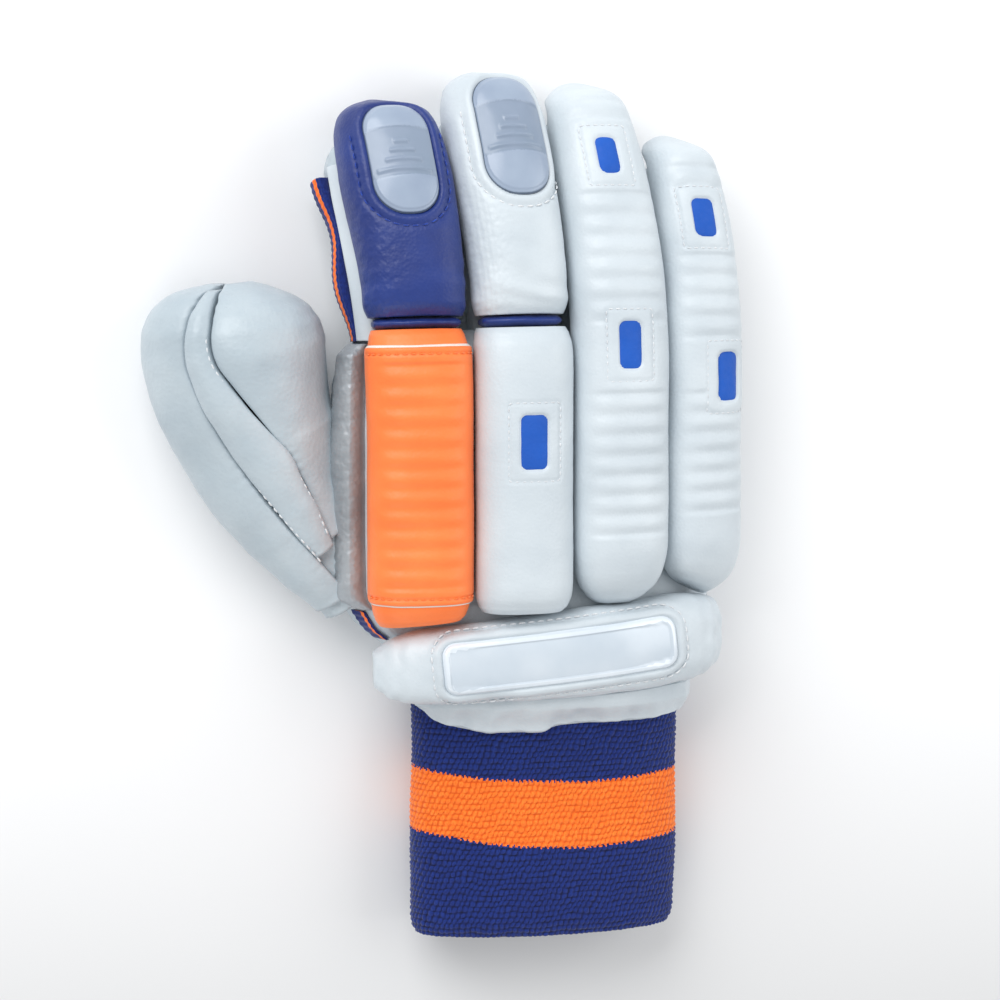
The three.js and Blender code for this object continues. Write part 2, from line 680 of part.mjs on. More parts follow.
// A rounded plate let into a surface: outline in s and t, faces at the given heights.
function plate({ s, t, wide, long, corner, turn = 0, rings = 2, around = 16, top, bottom }) {
  const outline = (share) =>
    spread(around).slice(0, -1).map((part) => {
      const { x, y } = rounded(part * 2 * Math.PI + Math.PI / around, corner);
      const [a, b] = [(wide / 2) * x * share, (long / 2) * y * share];
      const angle = radians(turn);
      return {
        s: s + a * Math.cos(angle) - b * Math.sin(angle),
        t: t + a * Math.sin(angle) + b * Math.cos(angle),
      };
    });
  const vertices = [];
  const triangles = [];
  const loops = spread(rings, 1, 0).slice(0, -1).map(outline);
  for (const face of [top, bottom]) {
    loops.forEach((loop) => loop.forEach((p) => vertices.push(place(p.s, p.t, face(p.s, p.t)))));
    vertices.push(place(s, t, face(s, t)));
  }
  const layer = loops.length * around + 1;
  for (const [start, flip] of [
    [0, false],
    [layer, true],
  ]) {
    const add = (a, b, c) => triangles.push(flip ? [a, c, b] : [a, b, c]);
    for (let j = 0; j < around; j++) {
      const k = (j + 1) % around;
      for (let i = 0; i + 1 < loops.length; i++) {
        const [a, b] = [start + i * around, start + (i + 1) * around];
        add(a + j, a + k, b + k);
        add(a + j, b + k, b + j);
      }
      const inner = start + (loops.length - 1) * around;
      add(inner + j, inner + k, start + layer - 1);
    }
  }
  for (let j = 0; j < around; j++) {
    const k = (j + 1) % around;
    triangles.push([j, layer + j, layer + k], [j, layer + k, k]);
  }
  return solid(vertices, triangles);
}

// A plate and the pocket that holds it, both following the top of a roll.
function inlay(surface, { s, t, wide, long, corner, turn, thickness, rise = 0, rings, around }) {
  const at = { s, t, corner, turn, rings, around };
  const cutter = plate({
    ...at,
    wide: wide + 2 * GAP,
    long: long + 2 * GAP,
    top: (a, b) => surface(a, b) + 4,
    bottom: (a, b) => surface(a, b) - thickness - GAP,
  });
  const insert = plate({
    ...at,
    wide,
    long,
    top: (a, b) => surface(a, b) + rise,
    bottom: (a, b) => surface(a, b) - thickness,
  });
  return { cutter, insert };
}

// The ring and little fingers' rolls, each one long ribbed bar with two windows.
const ribZones = (finger, zones) =>
  zones.map(([from, to, depth]) => {
    const span = finger.reach - finger.foot;
    const start = finger.foot + from * span;
    const count = Math.round(((to - from) * span) / RIB_PITCH);
    return { from: start, to: start + count * RIB_PITCH, depth };
  });
const windowAt = (finger, share, side, long = 1) => ({
  s: finger.centre + side * finger.width,
  t: mix(finger.foot, finger.reach, share),
  wide: WINDOW_WIDTH,
  long: WINDOW_LENGTH * long,
  corner: 5,
  thickness: WINDOW_THICKNESS,
  around: 12,
  rings: 1,
});
const smooth = (roll) => {
  const plain = new Roll({ ...roll, ribs: [] });
  return (s, t) => plain.top(s, t);
};

const ringRoll = new Roll({
  ...FINGERS.ring,
  rows: ROUND_ROWS,
  ribs: ribZones(FINGERS.ring, [
    [0.14, 0.42],
    [0.53, 0.76],
    [0.89, 0.93],
  ]),
});
const littleRoll = new Roll({
  ...FINGERS.little,
  rows: ROUND_ROWS,
  slant: -3,
  ribs: ribZones(FINGERS.little, [
    [0.18, 0.42],
    [0.55, 0.72],
    [0.86, 0.92],
  ]),
});
const middleRoll = new Roll({
  ...FINGERS.middle,
  reach: CAP_FOOT - HINGE_GAP,
  rows: SQUARE_ROWS,
});
const indexRoll = new Roll({
  ...FINGERS.index,
  width: FINGERS.index.width - 2 * (SLEEVE_WALL + GAP),
  height: FINGERS.index.height - SLEEVE_WALL - GAP,
  reach: CAP_FOOT - HINGE_GAP,
  rows: SQUARE_ROWS,
  slant: 1,
});
const indexCap = new Roll({ ...FINGERS.index, foot: CAP_FOOT, rows: CAP_ROWS });
const middleCap = new Roll({ ...FINGERS.middle, foot: CAP_FOOT, rows: CAP_ROWS });

const windows = {
  ring_window_lower: [ringRoll, windowAt(FINGERS.ring, 0.487, -0.02, 0.95)],
  ring_window_upper: [ringRoll, windowAt(FINGERS.ring, 0.821, -0.04, 0.75)],
  little_window_lower: [littleRoll, windowAt(FINGERS.little, 0.466, 0.12, 0.97)],
  little_window_upper: [littleRoll, windowAt(FINGERS.little, 0.796, -0.05, 0.78)],
  middle_window: [middleRoll, windowAt({ ...FINGERS.middle, reach: middleRoll.reach }, 0.614, 0.05)],
};
const rollBodies = new Map([ringRoll, littleRoll, middleRoll].map((roll) => [roll, roll.body()]));
const windowBodies = {};
for (const [name, [roll, at]] of Object.entries(windows)) {
  const { cutter, insert } = inlay(smooth(roll), at);
  rollBodies.set(roll, rollBodies.get(roll).subtract(cutter));
  windowBodies[name] = insert;
}

// The two fingertip caps, each with a hard guard let into it.
function cappedTip(cap, side, length) {
  const { cutter, insert } = inlay(smooth(cap), {
    s: cap.centre + side * cap.width,
    t: mix(cap.foot, cap.reach, 0.66),
    wide: GUARD_WIDTH,
    long: GUARD_LENGTH * length,
    corner: 3,
    thickness: GUARD_THICKNESS,
    rise: GUARD_RISE,
    rings: 2,
    around: 18,
  });
  return { cap: cap.body().subtract(cutter), guard: insert };
}
const indexTip = cappedTip(indexCap, 0, 0.96);
const middleTip = cappedTip(middleCap, 0.06, 1.04);

// The rolled strip between each cap and the roll below it.
function hingeStrip(finger) {
  const t = CAP_FOOT - HINGE_GAP / 2;
  const radius = HINGE_GAP / 2 - GAP;
  const reach = finger.width * 0.36;
  return tube(
    [-1, -0.9, 0, 0.9, 1].map((share) =>
      spread(8).slice(0, -1).map((turn) => {
        const angle = turn * 2 * Math.PI;
        const size = radius * (Math.abs(share) === 1 ? 0.6 : 1);
        const h = finger.height * 0.62 * (1 - 0.25 * share ** 2);
        const tall = h / 2;
        return place(
          finger.centre + share * reach,
          t + size * Math.cos(angle),
          h / 2 + GAP + (tall - (radius - size)) * Math.sin(angle),
        );
      }),
    ),
  );
}

// The ribbed sleeve sewn round the middle of the index roll.
const SLEEVE_FROM = 0.07;
const SLEEVE_TO = 0.95;
function indexSleeve() {
  const { foot, reach } = indexRoll;
  const [from, to] = [mix(foot, reach, SLEEVE_FROM), mix(foot, reach, SLEEVE_TO)];
  const count = Math.floor((to - from - 8) / RIB_PITCH);
  const start = (from + to - count * RIB_PITCH) / 2;
  const outside = new Roll({
    ...FINGERS.index,
    foot: from,
    reach: to,
    rows: [
      { along: 0, wide: 0.95, high: 0.93, base: 0 },
      { along: 0.03, wide: 1, high: 1, base: 0 },
      { along: 0.97, wide: 1, high: 1, base: 0 },
      { along: 1, wide: 0.95, high: 0.93, base: 0 },
    ],
    ribs: [{ from: start, to: start + count * RIB_PITCH }],
  });
  return outside.body().subtract(indexRoll.body(GAP));
}

// The padded bar across the wrist end of the back, with its badge plate.
const CUFF_LENGTH = 32; // along the hand, at the little finger's end
const CUFF_HEIGHT = 17;
const CUFF_ROOT = 4; // how far it goes down to the hand, which trims it
const CUFF_SIDE = 0.97; // its half width, as a share of the rolls' reach on each side
const CUFF_FRONT = 9.5; // its front edge below the index roll
const CUFF_RISE = 9; // how much further forward it is below the little roll
const rollsLeft = FINGERS.index.centre - FINGERS.index.width / 2;
const rollsRight = FINGERS.little.centre + FINGERS.little.width / 2;
const cuffSlope = CUFF_RISE / (FINGERS.little.centre - FINGERS.index.centre);
const cuffFront = (s) => CUFF_FRONT + (s - FINGERS.index.centre) * cuffSlope;
const CUFF_ROWS = [
  { along: 0, long: 0.36, high: 0.4 },
  { along: 0.02, long: 0.54, high: 0.62 },
  { along: 0.06, long: 0.7, high: 0.86 },
  { along: 0.12, long: 0.8, high: 0.98 },
  { along: 0.3, long: 0.87, high: 1 },
  { along: 0.5, long: 0.93, high: 1 },
  { along: 0.65, long: 0.97, high: 1 },
  { along: 0.8, long: 1, high: 1 },
  { along: 0.88, long: 0.97, high: 0.98 },
  { along: 0.94, long: 0.86, high: 0.86 },
  { along: 0.98, long: 0.64, high: 0.62 },
  { along: 1, long: 0.42, high: 0.4 },
];
const cuffReach = (share) => mix(rollsLeft * CUFF_SIDE, rollsRight * CUFF_SIDE, share);
const cuffAlong = (s) => (s - cuffReach(0)) / (cuffReach(1) - cuffReach(0));
// The front edge stays straight while the length changes, until the ends round off.
const cuffMiddle = (s) => cuffFront(s) - (CUFF_LENGTH / 2) * mix(0.82, 1, cuffAlong(s));
function cuffTop(s, t) {
  const along = cuffAlong(s);
  const y = (t - cuffMiddle(s)) / ((CUFF_LENGTH / 2) * column(CUFF_ROWS, along, "long"));
  const n = ROLL_SQUARENESS;
  const arc = Math.max(0, 1 - Math.abs(y) ** n) ** (1 / n);
  return CUFF_HEIGHT * column(CUFF_ROWS, along, "high") * (FOOT + (1 - FOOT) * arc);
}
const cuffBody = tube(
  CUFF_ROWS.map(({ along, long, high }) => {
    const s = cuffReach(along);
    const reach = (CUFF_LENGTH / 2) * long;
    const at = (y, h) => place(s, cuffMiddle(s) + reach * y, h);
    const crown = spread(10, 0, Math.PI).map((angle) => {
      const { x, y } = rounded(angle, ROLL_SQUARENESS);
      return at(x, CUFF_HEIGHT * high * (FOOT + (1 - FOOT) * y));
    });
    return [at(0.86, -CUFF_ROOT), ...crown, at(-0.86, -CUFF_ROOT)];
  }),
);
const badgeMiddle = mix(rollsLeft, rollsRight, 0.495);
const badge = inlay(cuffTop, {
  s: badgeMiddle,
  t: cuffMiddle(badgeMiddle) + 0.6,
  wide: BADGE_LENGTH,
  long: BADGE_WIDTH,
  corner: 8,
  turn: THREE.MathUtils.radToDeg(Math.atan(cuffSlope)),
  thickness: BADGE_THICKNESS,
  rings: 2,
  around: 28,
});

// The leather skirt over the top of the wristband, with two scallops at its edge.
const FLAP_WALL = 2.4;
const FLAP_LENGTH = 9.5; // past the hand's wrist edge
const FLAP_ROOT_THUMB = 2.3; // how far it reaches up the hand at each side, to the cuff
const FLAP_ROOT_LITTLE = 6;
const FLAP_EDGE = [
  { along: 0, deep: 0.82 },
  { along: 0.2, deep: 0.76 },
  { along: 0.42, deep: 0.72 },
  { along: 0.5, deep: 0.78 },
  { along: 0.54, deep: 1 },
  { along: 0.72, deep: 0.97 },
  { along: 0.88, deep: 0.7 },
  { along: 1, deep: 0.25 },
];
// Points on the hand's outside at t, between two of its section's points.
function onHand(t, lift, from, to, steps) {
  const along = (t - WRIST_END) / (CROTCH - WRIST_END);
  const next = Math.max(1, HAND_ROWS.findIndex((row) => row.along >= along));
  const [a, b] = [HAND_ROWS[next - 1], HAND_ROWS[next]];
  const after = handRing(b, -lift);
  const part = (along - a.along) / (b.along - a.along);
  const outside = handRing(a, -lift).map((v, i) => v.lerp(after[i], part));
  return spread(steps, from, to).map((at) => {
    const k = Math.floor(at);
    return outside.at(k).clone().lerp(outside.at((k + 1) % outside.length), at - k);
  });
}
function wristFlap() {
  const span = [-2, 10, 12];
  const columns = span[2];
  const grid = (lift) => {
    const at = (t, raise) => onHand(t, raise, ...span);
    const root = spread(columns).map(
      (share, i) => at(WRIST_END + mix(FLAP_ROOT_LITTLE, FLAP_ROOT_THUMB, share), GAP + lift)[i],
    );
    const rim = at(WRIST_END, GAP + lift);
    const edge = at(WRIST_END, GAP / 2 + lift - LEATHER).map((v, i) =>
      v.setY(WRIST_END - FLAP_LENGTH * column(FLAP_EDGE, i / columns, "deep")),
    );
    return [root, rim, rim.map((v, i) => v.clone().lerp(edge[i], 0.35)), edge];
  };
  return sheet(grid(FLAP_WALL), grid(0));
}

// Strips on the thumb's side of the index stall: leather above, knitted below.
function stallStrip({ fromAngle, toAngle, wall, start, stop, ripple }) {
  const finger = FINGERS.index;
  const stations = spread(8).map((share) => mix(start, stop, share));
  const from = CROTCH + GAP;
  const grid = (lift) =>
    stations.map((t) => {
      const along = (t - from) / (stallEnd(finger) - from);
      const wide = column(STALL_ROWS, along, "wide");
      const depth = mix(STALL_DEPTH, STALL_TIP_DEPTH, column(STALL_ROWS, along, "deep"));
      const wave = lift > GAP ? ripple * (1 - Math.cos((t - start) * 0.16)) : 0;
      return spread(5, radians(fromAngle), radians(toAngle)).map((angle) => {
        const { x, y } = rounded(angle, 2.6);
        const side = (finger.stallWidth / 2) * wide + lift + wave * Math.abs(x) ** 3;
        const rise = (depth / 2) * Math.min(1, 0.25 + wide) + lift;
        return place(finger.centre + finger.stallShift + side * x, t, STALL_TOP - depth / 2 + rise * y);
      });
    });
  return sheet(grid(GAP + wall), grid(GAP));
}
const sideBand = stallStrip({
  fromAngle: 118,
  toAngle: 158,
  wall: LEATHER,
  start: CROTCH + 2,
  stop: stallEnd(FINGERS.index) - 13,
  ripple: 0,
}).subtract(indexCap.body(GAP));
const indexGusset = stallStrip({
  fromAngle: 161,
  toAngle: 205,
  wall: STRAP_WALL,
  start: CROTCH + 2,
  stop: stallEnd(FINGERS.index) - 16,
  ripple: 1.4,
});

// A strip laid on the thumb's side of the hand, from one of its section's points to another.
function handStrip({ from, to, wall, start, stop, steps, crowned }) {
  const stations = spread(7).map((share) => mix(start, stop, share));
  const grid = (layer) =>
    stations.map((t, i) => {
      const end = Math.min(1, 0.45 + Math.min(i, stations.length - 1 - i) * 0.4);
      const base = onHand(t, GAP, from, to, steps);
      const lifted = onHand(t, GAP + 1, from, to, steps);
      return base.map((v, j) => {
        const crown = 0.15 + 0.85 * Math.sin((Math.PI * j) / steps) ** 0.6;
        const out = lifted[j].sub(v).normalize();
        return v.addScaledVector(out, layer * wall * (crowned ? crown * end : 1));
      });
    });
  return sheet(grid(1), grid(0));
}
const thumbFoldPoint = BACK_POINTS.length - 1;
const sideBar = handStrip({
  from: thumbFoldPoint + 0.6,
  to: thumbFoldPoint + 2.3,
  wall: BAR_THICKNESS,
  start: 15,
  stop: CROTCH - 4,
  steps: 7,
  crowned: true,
})
  .subtract(besideHand)
  .subtract(besideThumb);
const heelGusset = handStrip({
  from: thumbFoldPoint + 1.2,
  to: thumbFoldPoint + 2,
  wall: STRAP_WALL,
  start: 4,
  stop: 14,
  steps: 3,
  crowned: false,
}).subtract(besideThumb);

const COLOURS = {
  white_leather: [0xe3e8ea, 0.55],
  navy_leather: [0x1f3a86, 0.45],
  orange_leather: [0xff7a35, 0.5],
  palm_leather: [0xb4c0c8, 0.6],
  silver_leather: [0x9da5a9, 0.35],
  tip_guard: [0x9fb0bf, 0.2],
  blue_window: [0x1a66c8, 0.4],
  badge: [0xc3d1de, 0.15],
  navy_knit: [0x1d2f78, 0.95],
};
const glove = new THREE.Group();
function add(name, colour, body) {
  const { vertProperties, triVerts } = body.getMesh();
  const geometry = new THREE.BufferGeometry()
    .setAttribute("position", new THREE.BufferAttribute(vertProperties, 3))
    .setIndex(new THREE.BufferAttribute(triVerts, 1));
  geometry.computeVertexNormals();
  const [color, roughness] = COLOURS[colour];
  const metalness = colour === "silver_leather" ? 0.5 : 0;
  const mesh = new THREE.Mesh(
    geometry,
    new THREE.MeshStandardMaterial({ color, roughness, metalness }),
  );
  mesh.name = name;
  glove.add(mesh);
}

add("hand", "palm_leather", hand);
for (const [name, { shell }] of Object.entries(fingerStalls)) {
  add(`${name}_stall`, "palm_leather", shell);
}
add("thumb_stall", "palm_leather", thumbStall);
add("thumb_outer_pad", "palm_leather", outerPad);
add("thumb_inner_pad", "palm_leather", innerPad);
add("thumb_gusset", "palm_leather", thumbStrip);
add("index_roll", "orange_leather", indexRoll.body());
add("index_sleeve", "orange_leather", indexSleeve());
add("index_cap", "navy_leather", indexTip.cap);
add("index_tip_guard", "tip_guard", indexTip.guard);
add("index_hinge_strip", "navy_leather", hingeStrip(FINGERS.index));
add("middle_roll", "white_leather", rollBodies.get(middleRoll));
add("middle_cap", "white_leather", middleTip.cap);
add("middle_tip_guard", "tip_guard", middleTip.guard);
add("middle_hinge_strip", "navy_leather", hingeStrip(FINGERS.middle));
add("ring_roll", "white_leather", rollBodies.get(ringRoll));
add("little_roll", "white_leather", rollBodies.get(littleRoll));
for (const [name, body] of Object.entries(windowBodies)) add(name, "blue_window", body);
add("cuff_roll", "white_leather", cuffBody.subtract(badge.cutter).subtract(besideHand));
add("badge_plate", "badge", badge.insert);
add("wrist_flap", "white_leather", wristFlap());
add("index_side_band", "white_leather", sideBand);
add("index_gusset", "navy_knit", indexGusset);
add("side_bar", "silver_leather", sideBar);
add("heel_gusset", "navy_knit", heelGusset);
add("wristband", "navy_knit", wristband);

glove.position.y = -HEEL_MIDDLE;

export default glove;
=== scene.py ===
import math

import bpy
import numpy as np
from mathutils import Matrix, Vector


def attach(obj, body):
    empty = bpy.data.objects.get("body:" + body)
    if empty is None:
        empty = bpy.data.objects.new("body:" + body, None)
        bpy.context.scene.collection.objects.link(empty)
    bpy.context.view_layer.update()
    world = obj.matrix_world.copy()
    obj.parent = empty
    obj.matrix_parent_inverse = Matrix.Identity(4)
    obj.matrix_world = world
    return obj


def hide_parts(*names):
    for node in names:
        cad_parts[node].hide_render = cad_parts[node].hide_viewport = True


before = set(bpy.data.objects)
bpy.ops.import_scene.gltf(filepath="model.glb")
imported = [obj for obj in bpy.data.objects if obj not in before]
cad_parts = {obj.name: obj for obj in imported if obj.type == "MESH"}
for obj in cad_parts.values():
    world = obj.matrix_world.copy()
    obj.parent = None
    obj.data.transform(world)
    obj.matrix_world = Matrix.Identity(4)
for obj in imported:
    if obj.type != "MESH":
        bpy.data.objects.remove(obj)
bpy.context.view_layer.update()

# Camera, at the photograph's angle
TARGET = Vector((-0.023, 0.031, 0.040))
BACK = Vector((-0.2059, 0.1392, 0.9686)).normalized()
camera_data = bpy.data.cameras.new("camera")
camera_data.lens = 135.65
camera_data.sensor_width = 36
camera_data.clip_start, camera_data.clip_end = 0.05, 20
camera = bpy.data.objects.new("camera", camera_data)
bpy.context.scene.collection.objects.link(camera)
side_axis = Vector((0, 1, 0)).cross(BACK).normalized()
up_axis = BACK.cross(side_axis)
camera.matrix_world = Matrix.Translation(TARGET + BACK * 1.3) @ Matrix(
    (side_axis, up_axis, BACK)
).transposed().to_4x4()
bpy.context.scene.camera = camera

# The glove's own sizes, in millimetres
MM = 0.001
HEEL_MIDDLE = 22
REACH = 203
CROTCH = 112
WRIST_END = -20
PALM_SIDE_THUMB, PALM_SIDE_LITTLE = 79, 61
BACK_SIDE_THUMB, BACK_SIDE_LITTLE = 66, 56
LEATHER = 2
GAP = 0.3
REST_GAP = 0.2
STALL_DEPTH, STALL_TIP_DEPTH = 24, 19
TIP_COVER = 9
RIB_PITCH, RIB_DEPTH = 6.8, 0.72
CAP_FOOT, HINGE_GAP = 116.5, 4.2
FINGERS = {
    "index": dict(width=36, height=21, reach=193, foot=12, stall=30, shift=-3.5),
    "middle": dict(width=32.5, height=22, reach=203, foot=15.5, stall=28, shift=0),
    "ring": dict(width=31.5, height=22, reach=199, foot=17, stall=27, shift=0),
    "little": dict(width=27.5, height=21, reach=180, foot=19.5, stall=25, shift=0),
}
for finger_name, centre in zip(FINGERS, (-51.25, -16.5, 16, 46)):
    FINGERS[finger_name]["centre"] = centre


def lerp(a, b, share):
    return a + (b - a) * share


def ease(x, a, b):
    share = np.clip((x - a) / (b - a), 0, 1)
    return share * share * (3 - 2 * share)


def bulge(value, squareness):
    return np.sign(value) * np.abs(value) ** (2 / squareness)


def ridge(x, width):
    return np.exp(-((x / width) ** 2))


# The line of the back
TRACK = np.arange(-60, REACH + 62)
track_slope = np.radians(
    np.interp(np.clip(TRACK / REACH, 0, 1), [0, 0.34, 0.53, 0.72, 0.87, 1], [0, 0, 6, 14, 24, 34])
)
track_y = -60 + np.concatenate([[0], np.cumsum(np.cos(track_slope[:-1]))])
track_z = -np.concatenate([[0], np.cumsum(np.sin(track_slope[:-1]))])
# The arch across the back
TILT_AT = [-78.75, -51.25, -16.5, 16, 46, 73.5]
TILT = [-9, -6, -3, 9, 24, 38]
ARCH = np.arange(-140, 141)
step_tilt = np.radians(np.interp(ARCH[:-1] + 0.5, TILT_AT, TILT))
arch_x = np.concatenate([[0], np.cumsum(np.cos(step_tilt))])
arch_z = -np.concatenate([[0], np.cumsum(np.sin(step_tilt))])
arch_x -= arch_x[140]
arch_z -= arch_z[140]
arch_tilt = np.radians(np.interp(ARCH, TILT_AT, TILT))
back_height = 40.21


def in_section(t, x, rise):
    slope = np.interp(t, TRACK, track_slope)
    y = np.interp(t, TRACK, track_y) + rise * np.sin(slope)
    z = np.interp(t, TRACK, track_z) + back_height + rise * np.cos(slope)
    x, y, z = np.broadcast_arrays(x, y, z)
    return np.stack([x, y - HEEL_MIDDLE, z], -1) * MM


def tip_share(t):
    return ease(t, CROTCH - 40, REACH)


def place(s, t, h):
    """A point of the back: s across, t along from the heel, h out of it, in metres."""
    share = tip_share(t)
    flat = lerp(1, 0.3, share)
    lean = flat * np.interp(s, ARCH, arch_tilt) + math.radians(11) * share
    x = np.interp(s, ARCH, arch_x) * lerp(1, 1.06, share) - 9 * share**2 + h * np.sin(lean)
    return in_section(t, x, flat * np.interp(s, ARCH, arch_z) + h * np.cos(lean))


def back_rise(x, t):
    """The height of the plain back at a place across it, found by closing in on its s."""
    share = tip_share(t)
    s = x
    for _ in range(4):
        s = s + x - (np.interp(s, ARCH, arch_x) * lerp(1, 1.06, share) - 9 * share**2)
    return np.interp(s, ARCH, arch_z) * lerp(1, 0.3, share)


def profile(table, along, name, soft=0.02):
    """A column of a table at a share of its length, with its corners eased."""
    along = np.asarray(along, float)
    reach = np.minimum(soft, np.minimum(along - table["along"][0], table["along"][-1] - along))
    total = 0
    for shift in np.linspace(-1, 1, 9):
        total = total + np.interp(along + shift * np.maximum(reach, 0), table["along"], table[name])
    return total / 9


def ripple(points, size, seed):
    """Smooth noise from -1 to 1 with waves of about this size, in millimetres."""
    rng = np.random.RandomState(seed)
    total = 0
    for _ in range(7):
        way = rng.normal(size=3)
        way *= rng.uniform(0.7, 1.5) * 2 * math.pi / (size * np.linalg.norm(way))
        total = total + np.sin(points @ way / MM + rng.uniform(0, 6.28))
    return total / 3.5


def creases(points, size, seed):
    """Narrow wrinkles, 0 to 1."""
    return np.clip(1 - np.abs(ripple(points, size, seed)) * 2.2, 0, 1) ** 2


# Materials
def colour(code):
    """A colour from its hexadecimal code, in linear light."""
    parts = [int(code[i : i + 2], 16) / 255 for i in (1, 3, 5)]
    return (*[c / 12.92 if c < 0.04045 else ((c + 0.055) / 1.055) ** 2.4 for c in parts], 1)


class Stuff:
    """A material made of nodes."""

    def __init__(self, name):
        self.material = bpy.data.materials.new(name)
        self.material.use_nodes = True
        self.tree = self.material.node_tree
        self.shader = self.tree.nodes["Principled BSDF"]
        self.where = self.add("ShaderNodeTexCoord").outputs["Object"]

    def add(self, kind, **values):
        node = self.tree.nodes.new(kind)
        for key, value in values.items():
            if hasattr(node, key):
                setattr(node, key, value)
            else:
                node.inputs[key].default_value = value
        return node

    def link(self, a, b):
        self.tree.links.new(a, b)

    def noise(self, scale, detail, stretch=None):
        node = self.add("ShaderNodeTexNoise", Scale=scale, Detail=detail)
        where = self.where
        if stretch:
            mapping = self.add("ShaderNodeMapping", Scale=stretch)
            self.link(where, mapping.inputs["Vector"])
            where = mapping.outputs["Vector"]
        self.link(where, node.inputs["Vector"])
        return node.outputs["Fac"]

    def range(self, value, low, high, to_low, to_high):
        node = self.add("ShaderNodeMapRange")
        for key, number in zip(("From Min", "From Max", "To Min", "To Max"), (low, high, to_low, to_high)):
            node.inputs[key].default_value = number
        self.link(value, node.inputs["Value"])
        return node.outputs["Result"]

    def mix(self, fac, a, b):
        node = self.add("ShaderNodeMix", data_type="RGBA")
        self.link(fac, node.inputs["Factor"])
        for index, value in ((6, a), (7, b)):
            if isinstance(value, tuple):
                node.inputs[index].default_value = value
            else:
                self.link(value, node.inputs[index])
        return node.outputs[2]

    def clouds(self, scale, detail, light, dark):
        """Soft patches of two colours."""
        return self.mix(self.range(self.noise(scale, detail), 0.3, 0.7, 0, 1), light, dark)

    def paint(self, value):
        self.link(value, self.shader.inputs["Base Color"])

    def roughen(self, scale, detail, rough):
        self.link(self.range(self.noise(scale, detail), 0.3, 0.7, *rough), self.shader.inputs["Roughness"])

    def bump(self, value, strength, distance):
        node = self.add("ShaderNodeBump", Strength=strength, Distance=distance)
        self.link(value, node.inputs["Height"])
        before = self.shader.inputs["Normal"]
        if before.is_linked:
            self.link(before.links[0].from_socket, node.inputs["Normal"])
        self.link(node.outputs["Normal"], before)

    def set(self, **values):
        for key, value in values.items():
            self.shader.inputs[key.replace("_", " ")].default_value = value


def leather(name, light, dark, rough, grain, coat=0.1, metallic=0.0, pores=900):
    stuff = Stuff(name)
    light, dark = colour(light), colour(dark)
    cell = stuff.add("ShaderNodeTexVoronoi", feature="F1", Scale=pores)
    stuff.link(stuff.where, cell.inputs["Vector"])
    cell = cell.outputs["Distance"]
    deep = (*[0.86 * c for c in dark[:3]], 1)
    stuff.paint(stuff.mix(stuff.range(cell, 0, 0.1925, 0.4, 0), stuff.clouds(45, 4, light, dark), deep))
    stuff.roughen(420, 3, rough)
    stuff.bump(cell, grain, 0.00022)
    stuff.bump(stuff.noise(190, 5), grain * 0.5, 0.0005)
    stuff.set(Coat_Weight=coat, Coat_Roughness=0.3, Metallic=metallic, Sheen_Weight=0.05)
    return stuff.material


def fabric(name, light, dark, size=900, hollow_shade=None):
    """Cloth or thread; a knit has painted shade, darker in the hollows between its stitches."""
    stuff = Stuff(name)
    light, dark = colour(light), colour(dark)
    fibres = stuff.noise(size * 2.2, 4, (1, 0.35, 1))
    base = stuff.mix(stuff.range(fibres, 0.32, 0.68, 0, 1), dark, light)
    base = stuff.mix(stuff.range(stuff.noise(120, 3), 0.35, 0.65, 0, 0.35), base, dark)
    if hollow_shade:
        # Painted shade: the colour turns to the dark hollow colour where the bead height in the stitch
        # attribute is low
        depth = stuff.add("ShaderNodeAttribute", attribute_name="stitch").outputs["Fac"]
        base = stuff.mix(stuff.range(depth, 0.05, 0.5, 1, 0), base, colour(hollow_shade))
    stuff.paint(base)
    stuff.bump(fibres, 0.5, 0.0002)
    stuff.set(Roughness=0.9, Sheen_Weight=0.25, Sheen_Roughness=0.5, Specular_IOR_Level=0.25)
    return stuff.material


def moulded(name, light, dark, rough, coat):
    stuff = Stuff(name)
    stuff.paint(stuff.clouds(60, 3, colour(light), colour(dark)))
    stuff.roughen(300, 2, rough)
    stuff.bump(stuff.noise(500, 2), 0.06, 0.0002)
    stuff.set(Coat_Weight=coat, Coat_Roughness=0.16)
    return stuff.material


WHITE = leather("white_leather", "#d0d9df", "#c3cdd4", (0.38, 0.52), 0.3)
GREY = leather("palm_leather", "#bcc8cf", "#aab8c1", (0.36, 0.5), 0.5, pores=620)
NAVY = leather("navy_leather", "#18347f", "#10276b", (0.4, 0.54), 0.45, 0.05)
ORANGE = leather("orange_leather", "#ff8742", "#ff7a35", (0.42, 0.56), 0.3, 0.05)
SILVER = leather("silver_leather", "#b9bfc4", "#949ba1", (0.42, 0.55), 0.6, 0, 0.6, 600)
BLUE = leather("blue_window", "#0058c0", "#004cab", (0.6, 0.75), 0.35, 0)
EDGE = leather("raw_edge", "#f4f1ec", "#e6dfd6", (0.7, 0.85), 0.4, 0)
GUARD = moulded("tip_guard", "#9aa9bd", "#8d9cb2", (0.28, 0.38), 0.45)
GUARD_DEEP = moulded("tip_guard_middle", "#8a98ad", "#8090a4", (0.32, 0.42), 0.35)
RIM = moulded("tip_guard_rim", "#5d6a7c", "#4f5c6e", (0.35, 0.5), 0.2)
PLATE = moulded("badge_field", "#cfd9e2", "#c3cfda", (0.16, 0.26), 0.8)
PLATE_RIM = moulded("badge_rim", "#e4ecf3", "#d6e0e9", (0.12, 0.2), 1.0)
# The knits' last colours are painted shade for the hollows between their stitches
KNIT_NAVY = fabric("knit_navy", "#1b3585", "#11256a", hollow_shade="#070f38")
KNIT_ORANGE = fabric("knit_orange", "#ff8f38", "#fa6f1e", hollow_shade="#d85510")
STRIP_NAVY = fabric("strip_navy", "#1c3484", "#101f5c")
STRIP_ORANGE = fabric("strip_orange", "#ff8a30", "#f0611a")
